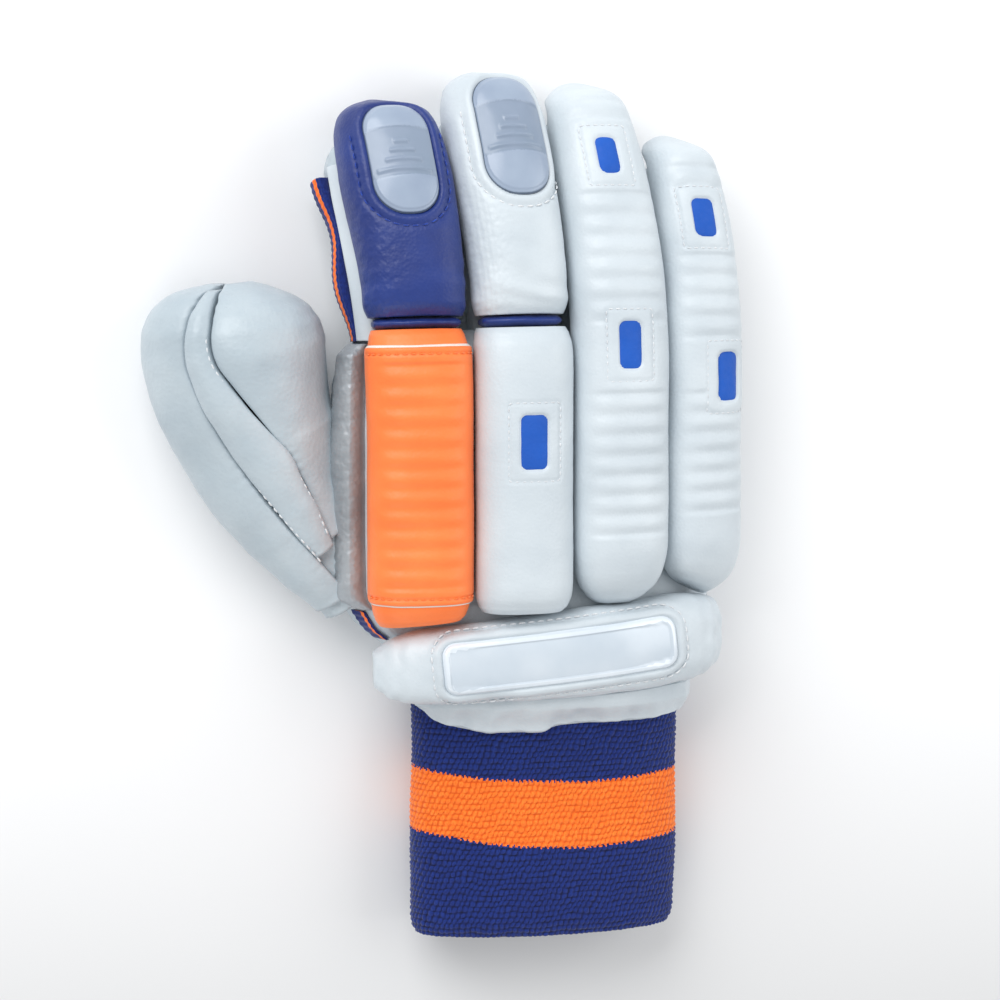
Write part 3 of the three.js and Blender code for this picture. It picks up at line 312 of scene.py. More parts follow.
THREAD = fabric("white_thread", "#f2f4f5", "#c9ced3", 1500)
THREAD_NAVY = fabric("navy_thread", "#3253b4", "#1b2f7a", 1500)
THREAD_ORANGE = fabric("orange_thread", "#ff9050", "#e86a28", 1500)


# Meshes
def make(name, points, faces, materials, picks=None, replaces=(), slot=None, pad=None):
    name = name + "_skin" if replaces else name
    mesh = bpy.data.meshes.new(name)
    mesh.from_pydata(np.asarray(points, float).tolist(), [], [list(map(int, f)) for f in faces])
    for material in materials:
        mesh.materials.append(material)
    if picks is not None:
        mesh.polygons.foreach_set("material_index", np.asarray(picks, np.int32))
    mesh.polygons.foreach_set("use_smooth", np.ones(len(mesh.polygons), bool))
    mesh.validate()
    mesh.update()
    obj = bpy.data.objects.new(name, mesh)
    bpy.context.scene.collection.objects.link(obj)
    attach(obj, "root")
    if replaces:
        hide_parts(*replaces)
    return obj


def tube_faces(rows, columns, fans=True):
    """Quads round a tube of rings, and fans at both ends onto two last points."""
    i, j = np.meshgrid(np.arange(rows - 1), np.arange(columns), indexing="ij")
    k = (j + 1) % columns
    faces = np.stack([i * columns + j, i * columns + k, (i + 1) * columns + k, (i + 1) * columns + j], -1)
    faces = faces.reshape(-1, 4).tolist()
    if fans:
        first, last = rows * columns, rows * columns + 1
        for a in range(columns):
            b = (a + 1) % columns
            faces.append([first, b, a])
            faces.append([last, (rows - 1) * columns + a, (rows - 1) * columns + b])
    return faces


def unit(vectors):
    return vectors / (np.linalg.norm(vectors, axis=-1, keepdims=True) + 1e-12)


def away(grid, normals):
    """Turns the normals if they point to the rows' middles."""
    out = grid - grid.mean(1, keepdims=True)
    return normals if (normals * out).sum() > 0 else -normals


def ring_normals(grid):
    """Unit normals of a grid of closed rings, pointing out."""
    across = np.roll(grid, -1, 1) - np.roll(grid, 1, 1)
    return away(grid, unit(np.cross(np.gradient(grid, axis=0), across)))


def sheet_normals(grid):
    """Unit normals of a grid of open rows, pointing out of their bulge."""
    return away(grid, unit(np.cross(np.gradient(grid, axis=0), np.gradient(grid, axis=1))))


def pushed(grid, normals, out, floor=None, fade=None):
    """Moves points out along their normals by millimetres, less near the floor and not below it."""
    if fade:
        out = out * ease(grid[..., 2] / MM, *fade)
    grid = grid + normals * out[..., None] * MM
    if floor is not None:
        grid[..., 2] = np.maximum(grid[..., 2], floor * MM)
    return grid


def outward(points, faces):
    """Turns the faces if the closed mesh is inside out."""
    volume = 0.0
    for corners in ((0, 1, 2), (0, 2, 3)):
        f = np.array([[face[i] for i in corners] for face in faces if len(face) > corners[2]])
        a, b, c = points[f[:, 0]], points[f[:, 1]], points[f[:, 2]]
        volume += (a * np.cross(b, c)).sum()
    return faces if volume > 0 else [face[::-1] for face in faces]


def body(name, grid, materials, pick=None, **facts):
    """A closed skin through a grid of rings, in the place of the solid with its name."""
    ends = [grid[0].mean(0), grid[-1].mean(0)]
    first, last = ((ring + end)[None] / 2 for ring, end in zip((grid[0], grid[-1]), ends))
    grid = np.concatenate([first, grid, last])
    rows, columns = grid.shape[:2]
    points = np.concatenate([grid.reshape(-1, 3), ends])
    faces = outward(points, tube_faces(rows, columns))
    picks = None
    if pick is not None:
        quads = np.concatenate([pick[:1], pick, pick[-1:]]).astype(int)
        picks = np.concatenate([quads.reshape(-1), np.tile([quads[0, 0], quads[-1, 0]], columns)])
    return make(name, points, faces, materials, picks, replaces=[name], **facts)


def sheet_body(name, outer, inner, materials, pick=None, **facts):
    """A closed skin between two grids of points; pick says which material each outer column has."""
    grid = np.concatenate([outer, inner[:, ::-1]], 1)
    if pick is not None:
        pick = np.tile(np.concatenate([pick, np.zeros(grid.shape[1] - len(pick))]), (len(grid) - 1, 1))
    return body(name, grid, materials, pick, **facts)


def surface(fn, s, t):
    """Points and unit normals of a surface that is given by two numbers."""
    s, t = np.asarray(s, float), np.asarray(t, float)
    a, b = fn(s + 0.4, t) - fn(s - 0.4, t), fn(s, t + 0.4) - fn(s, t - 0.4)
    return fn(s, t), unit(np.cross(a, b))


STITCH_SIDES = 6
# Half of a stitch's rings: place along it, thickness and height
STITCH_HALF = ((0.5, 0.3, -0.3), (0.4, 0.8, 0.2), (0.15, 1, 1))
STITCH_RINGS = [(-share, wide, high) for share, wide, high in STITCH_HALF] + list(reversed(STITCH_HALF))


def threads(name, paths, material, slot, long=2.3, gap=0.9, radius=0.34, lift=0.16):
    """Stitches along paths on a surface, each path as points and normals."""
    points, faces = [], []
    for path, normals in paths:
        steps = np.linalg.norm(np.diff(path, axis=0), axis=1) / MM
        arc = np.concatenate([[0], np.cumsum(steps)])

        def on_path(values, at):
            return np.array([np.interp(at, arc, values[:, k]) for k in range(3)])

        count = max(1, int(arc[-1] // (long + gap)))
        for n in range(count):
            middle = (n + 0.5) * arc[-1] / count
            up = unit(on_path(normals, middle))
            way = unit(on_path(path, middle + 0.5) - on_path(path, middle - 0.5))
            side = np.cross(way, up)
            start = len(points)
            for share, wide, high in STITCH_RINGS:
                centre = on_path(path, middle) + way * share * long * MM + up * lift * high * MM
                for turn in np.arange(STITCH_SIDES) * 2 * math.pi / STITCH_SIDES:
                    points.append(centre + (side * math.cos(turn) + up * math.sin(turn)) * radius * wide * MM)
            for i in range(start, len(points) - STITCH_SIDES, STITCH_SIDES):
                for j in range(STITCH_SIDES):
                    a, b = i + j, i + (j + 1) % STITCH_SIDES
                    faces.append((a, b, b + STITCH_SIDES, a + STITCH_SIDES))
            faces.append([start + j for j in range(STITCH_SIDES)][::-1])
            faces.append(list(range(len(points) - STITCH_SIDES, len(points))))
    return make(name, points, faces, [material], slot=slot)


def box_distance(a, b, wide, long, corner):
    """Distance from a rounded rectangle's edge, negative inside."""
    qa, qb = np.abs(a) - (wide / 2 - corner), np.abs(b) - (long / 2 - corner)
    outside = np.hypot(np.maximum(qa, 0), np.maximum(qb, 0))
    return outside + np.minimum(np.maximum(qa, qb), 0) - corner


def box_outline(wide, long, corner, count=160):
    """Points round a rounded rectangle, evenly along its edge."""
    a, b = wide / 2 - corner, long / 2 - corner
    path = []
    for qa, qb, start in ((a, b, 0), (-a, b, 90), (-a, -b, 180), (a, -b, 270)):
        for turn in np.radians(np.linspace(start, start + 90, 9)):
            path.append((qa + corner * math.cos(turn), qb + corner * math.sin(turn)))
    path = np.array([*path, path[0]])
    arc = np.concatenate([[0], np.cumsum(np.linalg.norm(np.diff(path, axis=0), axis=1))])
    at = np.linspace(0, arc[-1], count)
    return np.interp(at, arc, path[:, 0]), np.interp(at, arc, path[:, 1])


def stretches(*parts):
    """Numbers running on through stretches, each given by its start, stop and count."""
    return np.concatenate([np.linspace(*part)[min(n, 1) :] for n, part in enumerate(parts)])


def turned(a, b, turn):
    return a * math.cos(turn) - b * math.sin(turn), a * math.sin(turn) + b * math.cos(turn)


def frame_path(fn, s0, t0, wide, long, corner, turn=0.0):
    """A rounded rectangle drawn on a surface."""
    a, b = turned(*box_outline(wide, long, corner), turn)
    return surface(fn, s0 + a, t0 + b)


# Rolls
def rows(text):
    """A table of a roll's sections; each row has its place along the roll, and its width, height and base."""
    table = np.array([row.split() for row in text.split(",")], float).T
    return dict(zip(("along", "wide", "high", "base"), table))


ROUND_ROWS = rows(
    """0 .42 .4 0, .015 .66 .66 0, .045 .88 .88 0, .1 1 1 0, .6 .99 1 0, .8 .91 .96 0, .89 .83 .92 0,
    .94 .74 .84 0, .97 .6 .72 .25, .99 .42 .54 .3, 1 .22 .3 .2"""
)
SQUARE_ROWS = rows("0 .84 .76 0, .03 .97 .92 0, .08 1 1 0, .92 1 1 0, .97 .98 .94 0, 1 .9 .8 0")
CAP_ROWS = rows(
    """0 .88 .74 0, .04 .96 .9 0, .12 .95 .97 0, .35 .98 1 0, .6 1.01 1 0, .74 .98 .98 0, .83 .91 .94 0,
    .89 .8 .86 0, .94 .64 .76 .25, .98 .42 .58 .32, 1 .2 .34 .2"""
)
SLEEVE_ROWS = rows("0 .93 .9 0, .012 .99 .99 0, .03 1 1 0, .97 1 1 0, .988 .99 .99 0, 1 .93 .9 0")
SQUARENESS, BASE_SQUARENESS, FOOT_SQUARENESS = 2.7, 2.2, 2.6
FOOT = 0.34
CROWN_POINTS, BASE_POINTS = 108, 18
CLOSEST_ROWS, CLOSEST_TO_END = 0.28, 0.2


def rolled_section(crown_points, base_points, foot_squareness):
    """A roll's section: which points are over its foot, and each point's place across and up, -1 to 1."""
    base_angle = np.linspace(math.pi, 2 * math.pi, base_points + 2)[1:-1]
    angle = np.concatenate([np.linspace(0, math.pi, crown_points), base_angle])
    crown = np.arange(len(angle)) < crown_points
    across = bulge(np.cos(angle), np.where(crown, SQUARENESS, foot_squareness))
    return crown, across, bulge(np.sin(angle) + 0.0, np.where(crown, SQUARENESS, BASE_SQUARENESS))


def arched(x):
    """A roll's height over its base, at a place across it from -1 to 1."""
    return FOOT + (1 - FOOT) * np.maximum(0, 1 - np.abs(x) ** SQUARENESS) ** (1 / SQUARENESS)


class Roll:
    """A padded roll on the back of a finger, with zones of ribs and other details."""

    def __init__(self, centre, width, height, foot, reach, table, zones=(), slant=0, soft=0.02, **_):
        self.centre, self.width, self.height = centre, width, height
        self.foot, self.reach, self.table, self.slant, self.soft = foot, reach, table, slant, soft
        self.zones, self.details = [], []
        for start, stop in zones:
            at = foot + start * (reach - foot)
            count = round((stop - start) * (reach - foot) / RIB_PITCH)
            self.zones.append((at, at + count * RIB_PITCH))
        self.seed = int(abs(centre)) + int(foot)

    def size(self, t):
        along = (t - self.foot) / (self.reach - self.foot)
        wide, high, base = (profile(self.table, along, key, self.soft) for key in ("wide", "high", "base"))
        return self.width / 2 * wide, self.height * high, -self.height * base

    def relief(self, s, t, x):
        """How far the leather stands out of the plain form."""
        out = 0 * t + 0 * s
        for start, stop in self.zones:
            wave = (0.5 + 0.5 * np.cos(2 * np.pi * (t - start) / RIB_PITCH)) ** 1.15
            inside = ease(t, start - 1.5, start) * (1 - ease(t, stop, stop + 1.5))
            out = out - RIB_DEPTH * wave * inside * (1 - ease(np.abs(x), 0.5, 0.97))
        for detail in self.details:
            out = detail(out, s, t, x)
        return out

    def smooth_top(self, s, t):
        wide, high, base = self.size(t)
        x = (s - self.centre) / wide
        return base + high * arched(x), x

    def plain(self, s, t):
        return self.smooth_top(s, t)[0]

    def top(self, s, t):
        h, x = self.smooth_top(s, t)
        return place(s, t, h + self.relief(s, t, x))

    def grid(self, step=0.65, ripples=1.0):
        ends = self.foot + np.linspace(0, 6, 16), self.reach - np.linspace(0, 8, 22)
        kept = [self.foot]
        for value in np.unique(np.concatenate([np.arange(self.foot, self.reach, step), *ends])):
            if value - kept[-1] > CLOSEST_ROWS and self.reach - value > CLOSEST_TO_END:
                kept.append(value)
        t = np.array([*kept, self.reach])[:, None]
        crown, x, up = rolled_section(CROWN_POINTS, BASE_POINTS, FOOT_SQUARENESS)
        wide, high, base = self.size(t)
        share = np.where(crown, FOOT + (1 - FOOT) * up, FOOT * (1 + up))
        t = t + self.slant * x * np.maximum(0, 1 - (t - self.foot) / (self.reach - self.foot) / 0.25)
        points = place(self.centre + wide * x, t, base + high * share)
        out = self.relief(self.centre + wide * x, t, x + 0 * t) * np.where(crown, ease(up, 0, 0.45), 0)
        soft = 0.14 * ripple(points, 34, self.seed) + 0.035 * ripple(points, 9, self.seed + 1)
        return pushed(points, ring_normals(points), out + ripples * soft)


def finger_roll(name, table, zones=(), **more):
    return Roll(**{**FINGERS[name], "table": table, "zones": zones, **more})


ROLL_END = CAP_FOOT - HINGE_GAP
ring_roll = finger_roll("ring", ROUND_ROWS, [(0.14, 0.42), (0.53, 0.76), (0.89, 0.93)])
little_roll = finger_roll("little", ROUND_ROWS, [(0.18, 0.42), (0.55, 0.72), (0.86, 0.92)], slant=-3)
middle_roll = finger_roll("middle", SQUARE_ROWS, reach=ROLL_END, soft=0.03)
index_roll = finger_roll("index", SQUARE_ROWS, reach=ROLL_END, width=33.6, height=19.7, slant=1, soft=0.03)
index_cap = finger_roll("index", CAP_ROWS, foot=CAP_FOOT)
middle_cap = finger_roll("middle", CAP_ROWS, foot=CAP_FOOT)

# Blue windows in the rolls: place along, place across, and shares of the full width and length
WINDOW_WIDTH, WINDOW_LENGTH, WINDOW_CORNER = 8.6, 18, 2.4
WINDOW_FRAME, WINDOW_POCKET = 3.9, 1.0
WINDOWS = [
    ("ring_window_lower", ring_roll, 0.487, -0.02, 0.8, 0.86),
    ("ring_window_upper", ring_roll, 0.821, -0.04, 0.78, 0.65),
    ("little_window_lower", little_roll, 0.466, 0.12, 0.9, 0.93),
    ("little_window_upper", little_roll, 0.796, -0.05, 0.88, 0.69),
    ("middle_window", middle_roll, 0.614, 0.05, 1, 1),
]


def window_detail(s0, t0, wide, long):
    """A pocket for a window, with a stitched frame pressed in round it."""

    def detail(out, s, t, x):
        d = box_distance(s - s0, t - t0, wide, long, WINDOW_CORNER)
        out = out * ease(d, WINDOW_FRAME - 0.2, WINDOW_FRAME + 1.6)
        square = box_distance(s - s0, t - t0, wide + 2 * WINDOW_FRAME, long + 2 * WINDOW_FRAME, 1.2)
        out = out - 0.34 * ridge(square, 0.6) + 0.1 * ridge(d - WINDOW_FRAME / 2, 1.3)
        return out - WINDOW_POCKET * (1 - ease(d, -0.15, 0.75))

    return detail


def window_piece(name, roll, s0, t0, wide, long):
    """A small soft plate at the bottom of its pocket."""
    a, b = np.meshgrid(np.linspace(-1, 1, 21), np.linspace(-1, 1, 33))
    s, t = s0 + a * (wide / 2 + 0.2), t0 + b * (long / 2 + 0.2)
    h = roll.plain(s, t)
    top = place(s, t, h - 0.95 + 0.75 * (1 - a**4) * (1 - b**6))
    normals = surface(lambda p, q: place(p, q, roll.plain(p, q)), s, t)[1]
    top = pushed(top, normals, 0.05 * ripple(top, 5, 3))
    sheet_body(name, top, place(s, t, h - 1.5), [BLUE], slot="blue_window")


windows = []
for name, roll, share, side, width, length in WINDOWS:
    s0, t0 = roll.centre + side * roll.width, lerp(roll.foot, roll.reach, share)
    windows.append((name, roll, s0, t0, WINDOW_WIDTH * width, WINDOW_LENGTH * length))
    roll.details.append(window_detail(*windows[-1][2:]))

# Fingertip caps with their guards
GUARD_WIDTH, GUARD_LENGTH, GUARD_CORNER, GUARD_POCKET = 21.5, 38, 9.6, 1.7
GUARD_AT = 0.66
GRAIN_WAVES, GRAIN_DEPTH = 7, 0.035


def cap_detail(s0, t0, wide, long, seed, folds):
    """The guard's pocket, the seam round it, the folds over the joint and the slack side's fine grain."""

    def detail(out, s, t, x):
        d = box_distance(s - s0, t - t0, wide, long, GUARD_CORNER)
        out = out - GUARD_POCKET * (1 - ease(d, -0.1, 0.8))
        out = out + 0.35 * ridge(d - 1.7, 0.9) - 0.45 * ridge(d - 3.9, 0.7) * ease(t0 + 9 - t, 0, 4)
        low = ease(t, CAP_FOOT + 1, CAP_FOOT + 5) * (1 - ease(t, CAP_FOOT + 8, CAP_FOOT + 30))
        wave = np.sin((t + 2.6 * np.sin(x * 2.0 + seed)) * 0.72 + 0.9 * np.sin(t * 0.31 + seed))
        out = out + folds * low * wave * (0.5 + 0.5 * np.sin(x * 2.4 + seed + 1.2)) * 0.6
        slack = (1 - ease(x, -0.75, 0.1)) * (1 - ease(t, CAP_FOOT + 30, CAP_FOOT + 62))
        for n in range(GRAIN_WAVES):
            across, size = turned(s, t, -2.4 * n - seed)[0], 1.5 + 0.37 * n
            out = out + GRAIN_DEPTH * slack * np.sin(across * 6.28 / size + 1.7 * n)
        return out

    return detail


def inlaid(name, at, height, wide, long, corner, lift, materials, pick, slot):
    """A rounded plate in its pocket; at gives s and t from the plate's own a and b."""
    edge_a, edge_b = (edge[:-1] for edge in box_outline(wide, long, corner, 129))
    r = np.concatenate([np.linspace(0.03, 0.8, 40), np.linspace(0.812, 1, 24)])[:, None]
    a, b = edge_a * r, edge_b * r
    s, t = at(a, b)
    h = height(s, t)
    top = place(s, t, h + lift(a, b, r))
    edge = place(s[-1:], t[-1:], h[-1:] - 1.7)
    deep = place(*at(a[-1:] * 0.4, b[-1:] * 0.4), h.mean() - 1.9)
    picks = pick(a[:-1], b[:-1], r[:-1] + 0 * a[:-1])
    picks = np.concatenate([picks, np.repeat(picks[-1:], 2, 0)])
    body(name, np.concatenate([top, edge, deep]), materials, picks, slot=slot)


# Cross ridges on a guard: place along it and half length
GUARD_RIDGES = ((4.4, 2.8), (1.6, 4.6), (-1.2, 6.4), (-4.2, GUARD_WIDTH / 2 * 0.86))


def guard_piece(name, cap, s0, t0, long):
    def bend(a, b):
        return b + 0.012 * a**2

    def lift(a, b, r):
        y = bend(a, b)
        out = -0.45 + 0.75 * (1 - r**2) - 0.7 * ease(r, 0.955, 1)
        ends = ease(y, long * 0.25, long * 0.265) + 1 - ease(y, -6.6, -5.6)
        out = out + 0.4 * ends * (1 - ease(r, 0.9, 0.95))
        for at, half in GUARD_RIDGES:
            out = out + 0.5 * ridge(y - at, 0.55) * (1 - ease(np.abs(a), half - 0.8, half))
        return out

    def pick(a, b, r):
        y = bend(a, b)
        return np.where(r > 0.975, 1, np.where((y > -6) & (y < long * 0.255), 2, 0))

    inlaid(
        name + "_tip_guard", lambda a, b: (s0 + a, t0 + b), cap.plain, GUARD_WIDTH, long, GUARD_CORNER, lift,
        [GUARD, RIM, GUARD_DEEP], pick, "tip_guard",
    )


def guard_stitches(cap, s0, t0, long):
    """The seam round a guard, open at the fingertip."""
    a, b = box_outline(GUARD_WIDTH + 7.6, long + 7.6, 13.4, 240)
    keep = np.arange(240)[(b < 9) | (np.arange(240) > 239)]
    order = keep[np.argsort((keep - 60) % 240)]
    return surface(cap.top, s0 + a[order], t0 + b[order])


# Each guard's place across its cap, share of the full length, and the depth of the folds below it
GUARDS = (("index", index_cap, 0, 0.96, 0.5), ("middle", middle_cap, 0.06, 1.04, 0.6))
tips = []
for name, cap, side, length, folds in GUARDS:
    s0, t0 = cap.centre + side * cap.width, lerp(cap.foot, cap.reach, GUARD_AT)
    tips.append((name, cap, s0, t0, GUARD_LENGTH * length))
    cap.details.append(cap_detail(s0, t0, GUARD_WIDTH, GUARD_LENGTH * length, cap.seed, folds))

PAD = 0.85
CAP_STEP, CAP_RIPPLES = 0.6, 5 / 3
body("ring_roll", ring_roll.grid(), [WHITE], slot="white_leather", pad=PAD)
body("little_roll", little_roll.grid(), [WHITE], slot="white_leather", pad=PAD)
body("middle_roll", middle_roll.grid(), [WHITE], slot="white_leather", pad=PAD)
body("index_roll", index_roll.grid(0.9), [ORANGE], slot="orange_leather", pad=PAD)
body("index_cap", index_cap.grid(CAP_STEP, CAP_RIPPLES), [NAVY], slot="navy_leather", pad=PAD)
body("middle_cap", middle_cap.grid(CAP_STEP, CAP_RIPPLES), [WHITE], slot="white_leather", pad=PAD)
for window in windows:
    window_piece(*window)
for tip in tips:
    guard_piece(*tip)
window_seams = []
for _, roll, s0, t0, wide, long in windows:
    window_seams.append(frame_path(roll.top, s0, t0, wide + 2 * WINDOW_FRAME, long + 2 * WINDOW_FRAME, 1.2))
threads("window_stitches", window_seams, THREAD, "white_leather", long=1.5, radius=0.24, lift=0.1)
threads("index_tip_stitches", [guard_stitches(*tips[0][1:])], THREAD_NAVY, "navy_leather")
threads("middle_tip_stitches", [guard_stitches(*tips[1][1:])], THREAD, "white_leather")

# The ribbed sleeve round the index roll, with its raw edge turned in at both ends
SLEEVE_WIDTH, SLEEVE_HEIGHT, SLEEVE_SEAM, SLEEVE_HEM = 36, 21, 3, 4
sleeve_from, sleeve_to = (lerp(index_roll.foot, index_roll.reach, share) for share in (0.07, 0.95))
sleeve = Roll(index_roll.centre, SLEEVE_WIDTH, SLEEVE_HEIGHT, sleeve_from, sleeve_to, SLEEVE_ROWS, soft=0.004)
ribs = int((sleeve_to - sleeve_from - 2 * SLEEVE_HEM) // RIB_PITCH) * RIB_PITCH
ribs_from = (sleeve_from + sleeve_to - ribs) / 2
sleeve.zones = [(ribs_from, ribs_from + ribs)]
seams_at = (sleeve_from + SLEEVE_SEAM, sleeve_to - SLEEVE_SEAM)
sleeve.details.append(lambda out, s, t, x: out - 0.5 * sum(ridge(t - at, 0.6) for at in seams_at))
grid = sleeve.grid(0.6)
hems = [lerp(ring, ring.mean(1, keepdims=True), 0.14) for ring in (grid[:1], grid[-1:])]
grid = np.concatenate([hems[0], grid, hems[1]])
pick = np.zeros((len(grid) - 1, grid.shape[1]), int)
pick[:3] = pick[-3:] = 1
body("index_sleeve", grid, [ORANGE, EDGE], pick, slot="orange_leather", pad=0.7)
s = sleeve.centre + np.linspace(-0.97, 0.97, 60) * SLEEVE_WIDTH / 2
sleeve_seams = [surface(sleeve.top, s, np.full(60, at)) for at in seams_at]
threads("sleeve_stitches", sleeve_seams, THREAD_ORANGE, "orange_leather", long=2.0, gap=0.8, radius=0.3)

# Narrow rolled strips between the caps and the rolls below
for name in ("index", "middle"):
    finger = FINGERS[name]
    shares = np.linspace(-1, 1, 60)[:, None]
    turns = np.linspace(0, 2 * math.pi, 24, endpoint=False)
    radius = (HINGE_GAP / 2 - 0.1) * (1 - 0.5 * np.abs(shares) ** 12)
    h = finger["height"] * 0.72 * (1 - 0.25 * shares**2)
    s = finger["centre"] + shares * finger["width"] * 0.4
    t = CAP_FOOT - HINGE_GAP / 2 + radius * np.cos(turns)
    points = place(s, t, h / 2 + GAP + (h / 2 - 2 + radius) * np.sin(turns))
    points = pushed(points, ring_normals(points), 0.15 * ripple(points, 5, 5))
    body(name + "_hinge_strip", points, [NAVY], slot="navy_leather")

# The cuff bar with its plate
CUFF_LENGTH, CUFF_HEIGHT = 32, 17
CUFF_FROM, CUFF_TO = -69.25 * 0.97, 59.75 * 0.97
CUFF_SLOPE = 9 / (46 + 51.25)
CUFF_ROWS = rows(
    """0 .36 .4 0, .02 .54 .62 0, .06 .7 .86 0, .12 .8 .98 0, .3 .87 1 0, .5 .93 1 0, .65 .97 1 0, .8 1 1 0,
    .88 .97 .98 0, .94 .86 .86 0, .98 .64 .62 0, 1 .42 .4 0"""
)


def cuff_along(s):
    return (s - CUFF_FROM) / (CUFF_TO - CUFF_FROM)


def cuff_middle(s):
    return 9.5 + (s + 51.25) * CUFF_SLOPE - CUFF_LENGTH / 2 * lerp(0.82, 1, cuff_along(s))


def cuff_size(s):
    """Half the bar's width along the hand, and its height."""
    wide, high = (profile(CUFF_ROWS, cuff_along(s), key) for key in ("wide", "high"))
    return CUFF_LENGTH / 2 * wide, CUFF_HEIGHT * high


BADGE_S = lerp(-69.25, 59.75, 0.495)
BADGE_T = cuff_middle(BADGE_S) + 0.6
BADGE_TURN = math.atan(CUFF_SLOPE)
BADGE = dict(wide=78, long=18.5, corner=4.5)
BADGE_SEAM = 3.6


def cuff_smooth(s, t):
    half, high = cuff_size(s)
    return high * arched((t - cuff_middle(s)) / half)


def cuff_relief(s, t):
    """The plate's pocket with a seam round it, and folds at the bar's ends."""
    d = box_distance(*turned(s - BADGE_S, t - BADGE_T, -BADGE_TURN), **BADGE)
    out = -1.5 * (1 - ease(d, -0.2, 0.8)) + 0.3 * ridge(d - 1.8, 1.0) - 0.5 * ridge(d - BADGE_SEAM, 0.7)
    return out + 0.25 * np.sin(s * 1.1 + 0.5 * np.sin(t * 0.7)) * ease(np.abs(s - BADGE_S), 44, 56)


def badge_at(a, b):
    a, b = turned(a, b, BADGE_TURN)
    return BADGE_S + a, BADGE_T + b


def badge_lift(a, b, r):
    d = -box_distance(a, b, **BADGE)
    crown = 1 - (2 * b / (BADGE["long"] + 1)) ** 2
    return -0.9 + 0.95 * ease(d, 0, 0.9) - 0.6 * ease(d, 1.9, 2.6) + 0.3 * crown


along = stretches((0, 0.12, 32), (0.12, 0.9, 146), (0.9, 1, 28))
s = lerp(CUFF_FROM, CUFF_TO, along)[:, None]
crown, y, up = rolled_section(100, 20, SQUARENESS)
half, high = cuff_size(s)
t = cuff_middle(s) + half * y
points = place(s, t, np.where(crown, high * (FOOT + (1 - FOOT) * up), high * FOOT * (1 + up) + 3 * up))
out = np.where(crown, cuff_relief(s, t) * ease(up, 0, 0.3), 0)
out = out + 0.4 * ripple(points, 22, 8) + 0.12 * ripple(points, 8, 9)
body("cuff_roll", pushed(points, ring_normals(points), out), [WHITE], slot="white_leather", pad=PAD)
cuff_seam = frame_path(
    lambda s, t: place(s, t, cuff_smooth(s, t) + cuff_relief(s, t)), BADGE_S, BADGE_T,
    BADGE["wide"] + 2 * BADGE_SEAM, BADGE["long"] + 2 * BADGE_SEAM, BADGE["corner"] + BADGE_SEAM, BADGE_TURN,
)
threads("cuff_stitches", [cuff_seam], THREAD, "white_leather")
inlaid(
    "badge_plate", badge_at, cuff_smooth, *BADGE.values(), badge_lift, [PLATE_RIM, PLATE],
    lambda a, b, r: box_distance(a, b, **BADGE) < -2.2, "badge",
)

# The leather body of the hand; a side's rows give place out, place up and the angle on the wristband
BACK_POINTS, PALM_POINTS = np.linspace(0, 1, 9), np.linspace(0, 1, 6)
THUMB_SIDE = np.array([[0.4, 0.76, 1, 0.97, 0.72], [0.91, 0.68, 0.42, 0.2, 0.05], [146, 160, 178, 197, 214]])
LITTLE_SIDE = np.array([[0.4, 1, 1, 0.6], [0.05, 0.26, 0.58, 0.86], [326, 342, 362, 384]])
ROUND_ANGLES = np.radians(
    [*lerp(48, 132, BACK_POINTS), *THUMB_SIDE[2], *lerp(230, 310, PALM_POINTS), *LITTLE_SIDE[2]]
)
HAND_ROWS = dict(
    along=[0, 0.09, 0.19, 0.3, 0.48, 0.66, 0.84, 1],
    thumb=[0.66, 0.75, 0.92, 0.99, 1, 1, 0.98, 0.93],
    little=[0.78, 0.83, 0.93, 0.98, 1, 1, 1, 1],
    arched=[0, 0, 0, 0, 0, 0.33, 0.72, 1],
    wrist=[1, 1, 0.25, 0, 0, 0, 0, 0],
)
HAND_COLUMNS = 240
RIM_DROP = 6.5
# The wristband's outline
BAND_WIDTH, BAND_SHIFT, BAND_SQUARENESS = 97.5, -2.5, 2.3
BAND_LOW = LEATHER + GAP
BAND_TOP = np.interp(WRIST_END, TRACK, track_z) + back_height - GAP - LEATHER - GAP


def band_section(low, high):
    x, y = bulge(np.cos(ROUND_ANGLES), BAND_SQUARENESS), bulge(np.sin(ROUND_ANGLES), BAND_SQUARENESS)
    return np.stack([BAND_SHIFT + BAND_WIDTH / 2 * x, (high + low) / 2 + (high - low) / 2 * y], -1)


def offset(section, distance):
    """A closed section moved inwards by a distance."""
    way = np.roll(section, -1, 0) - section
    after = np.stack([way[:, 1], -way[:, 0]], -1) / (np.linalg.norm(way, axis=1, keepdims=True) + 1e-9)
    before = np.roll(after, 1, 0)
    return section - (before + after) * distance / (1 + (before * after).sum(1, keepdims=True))


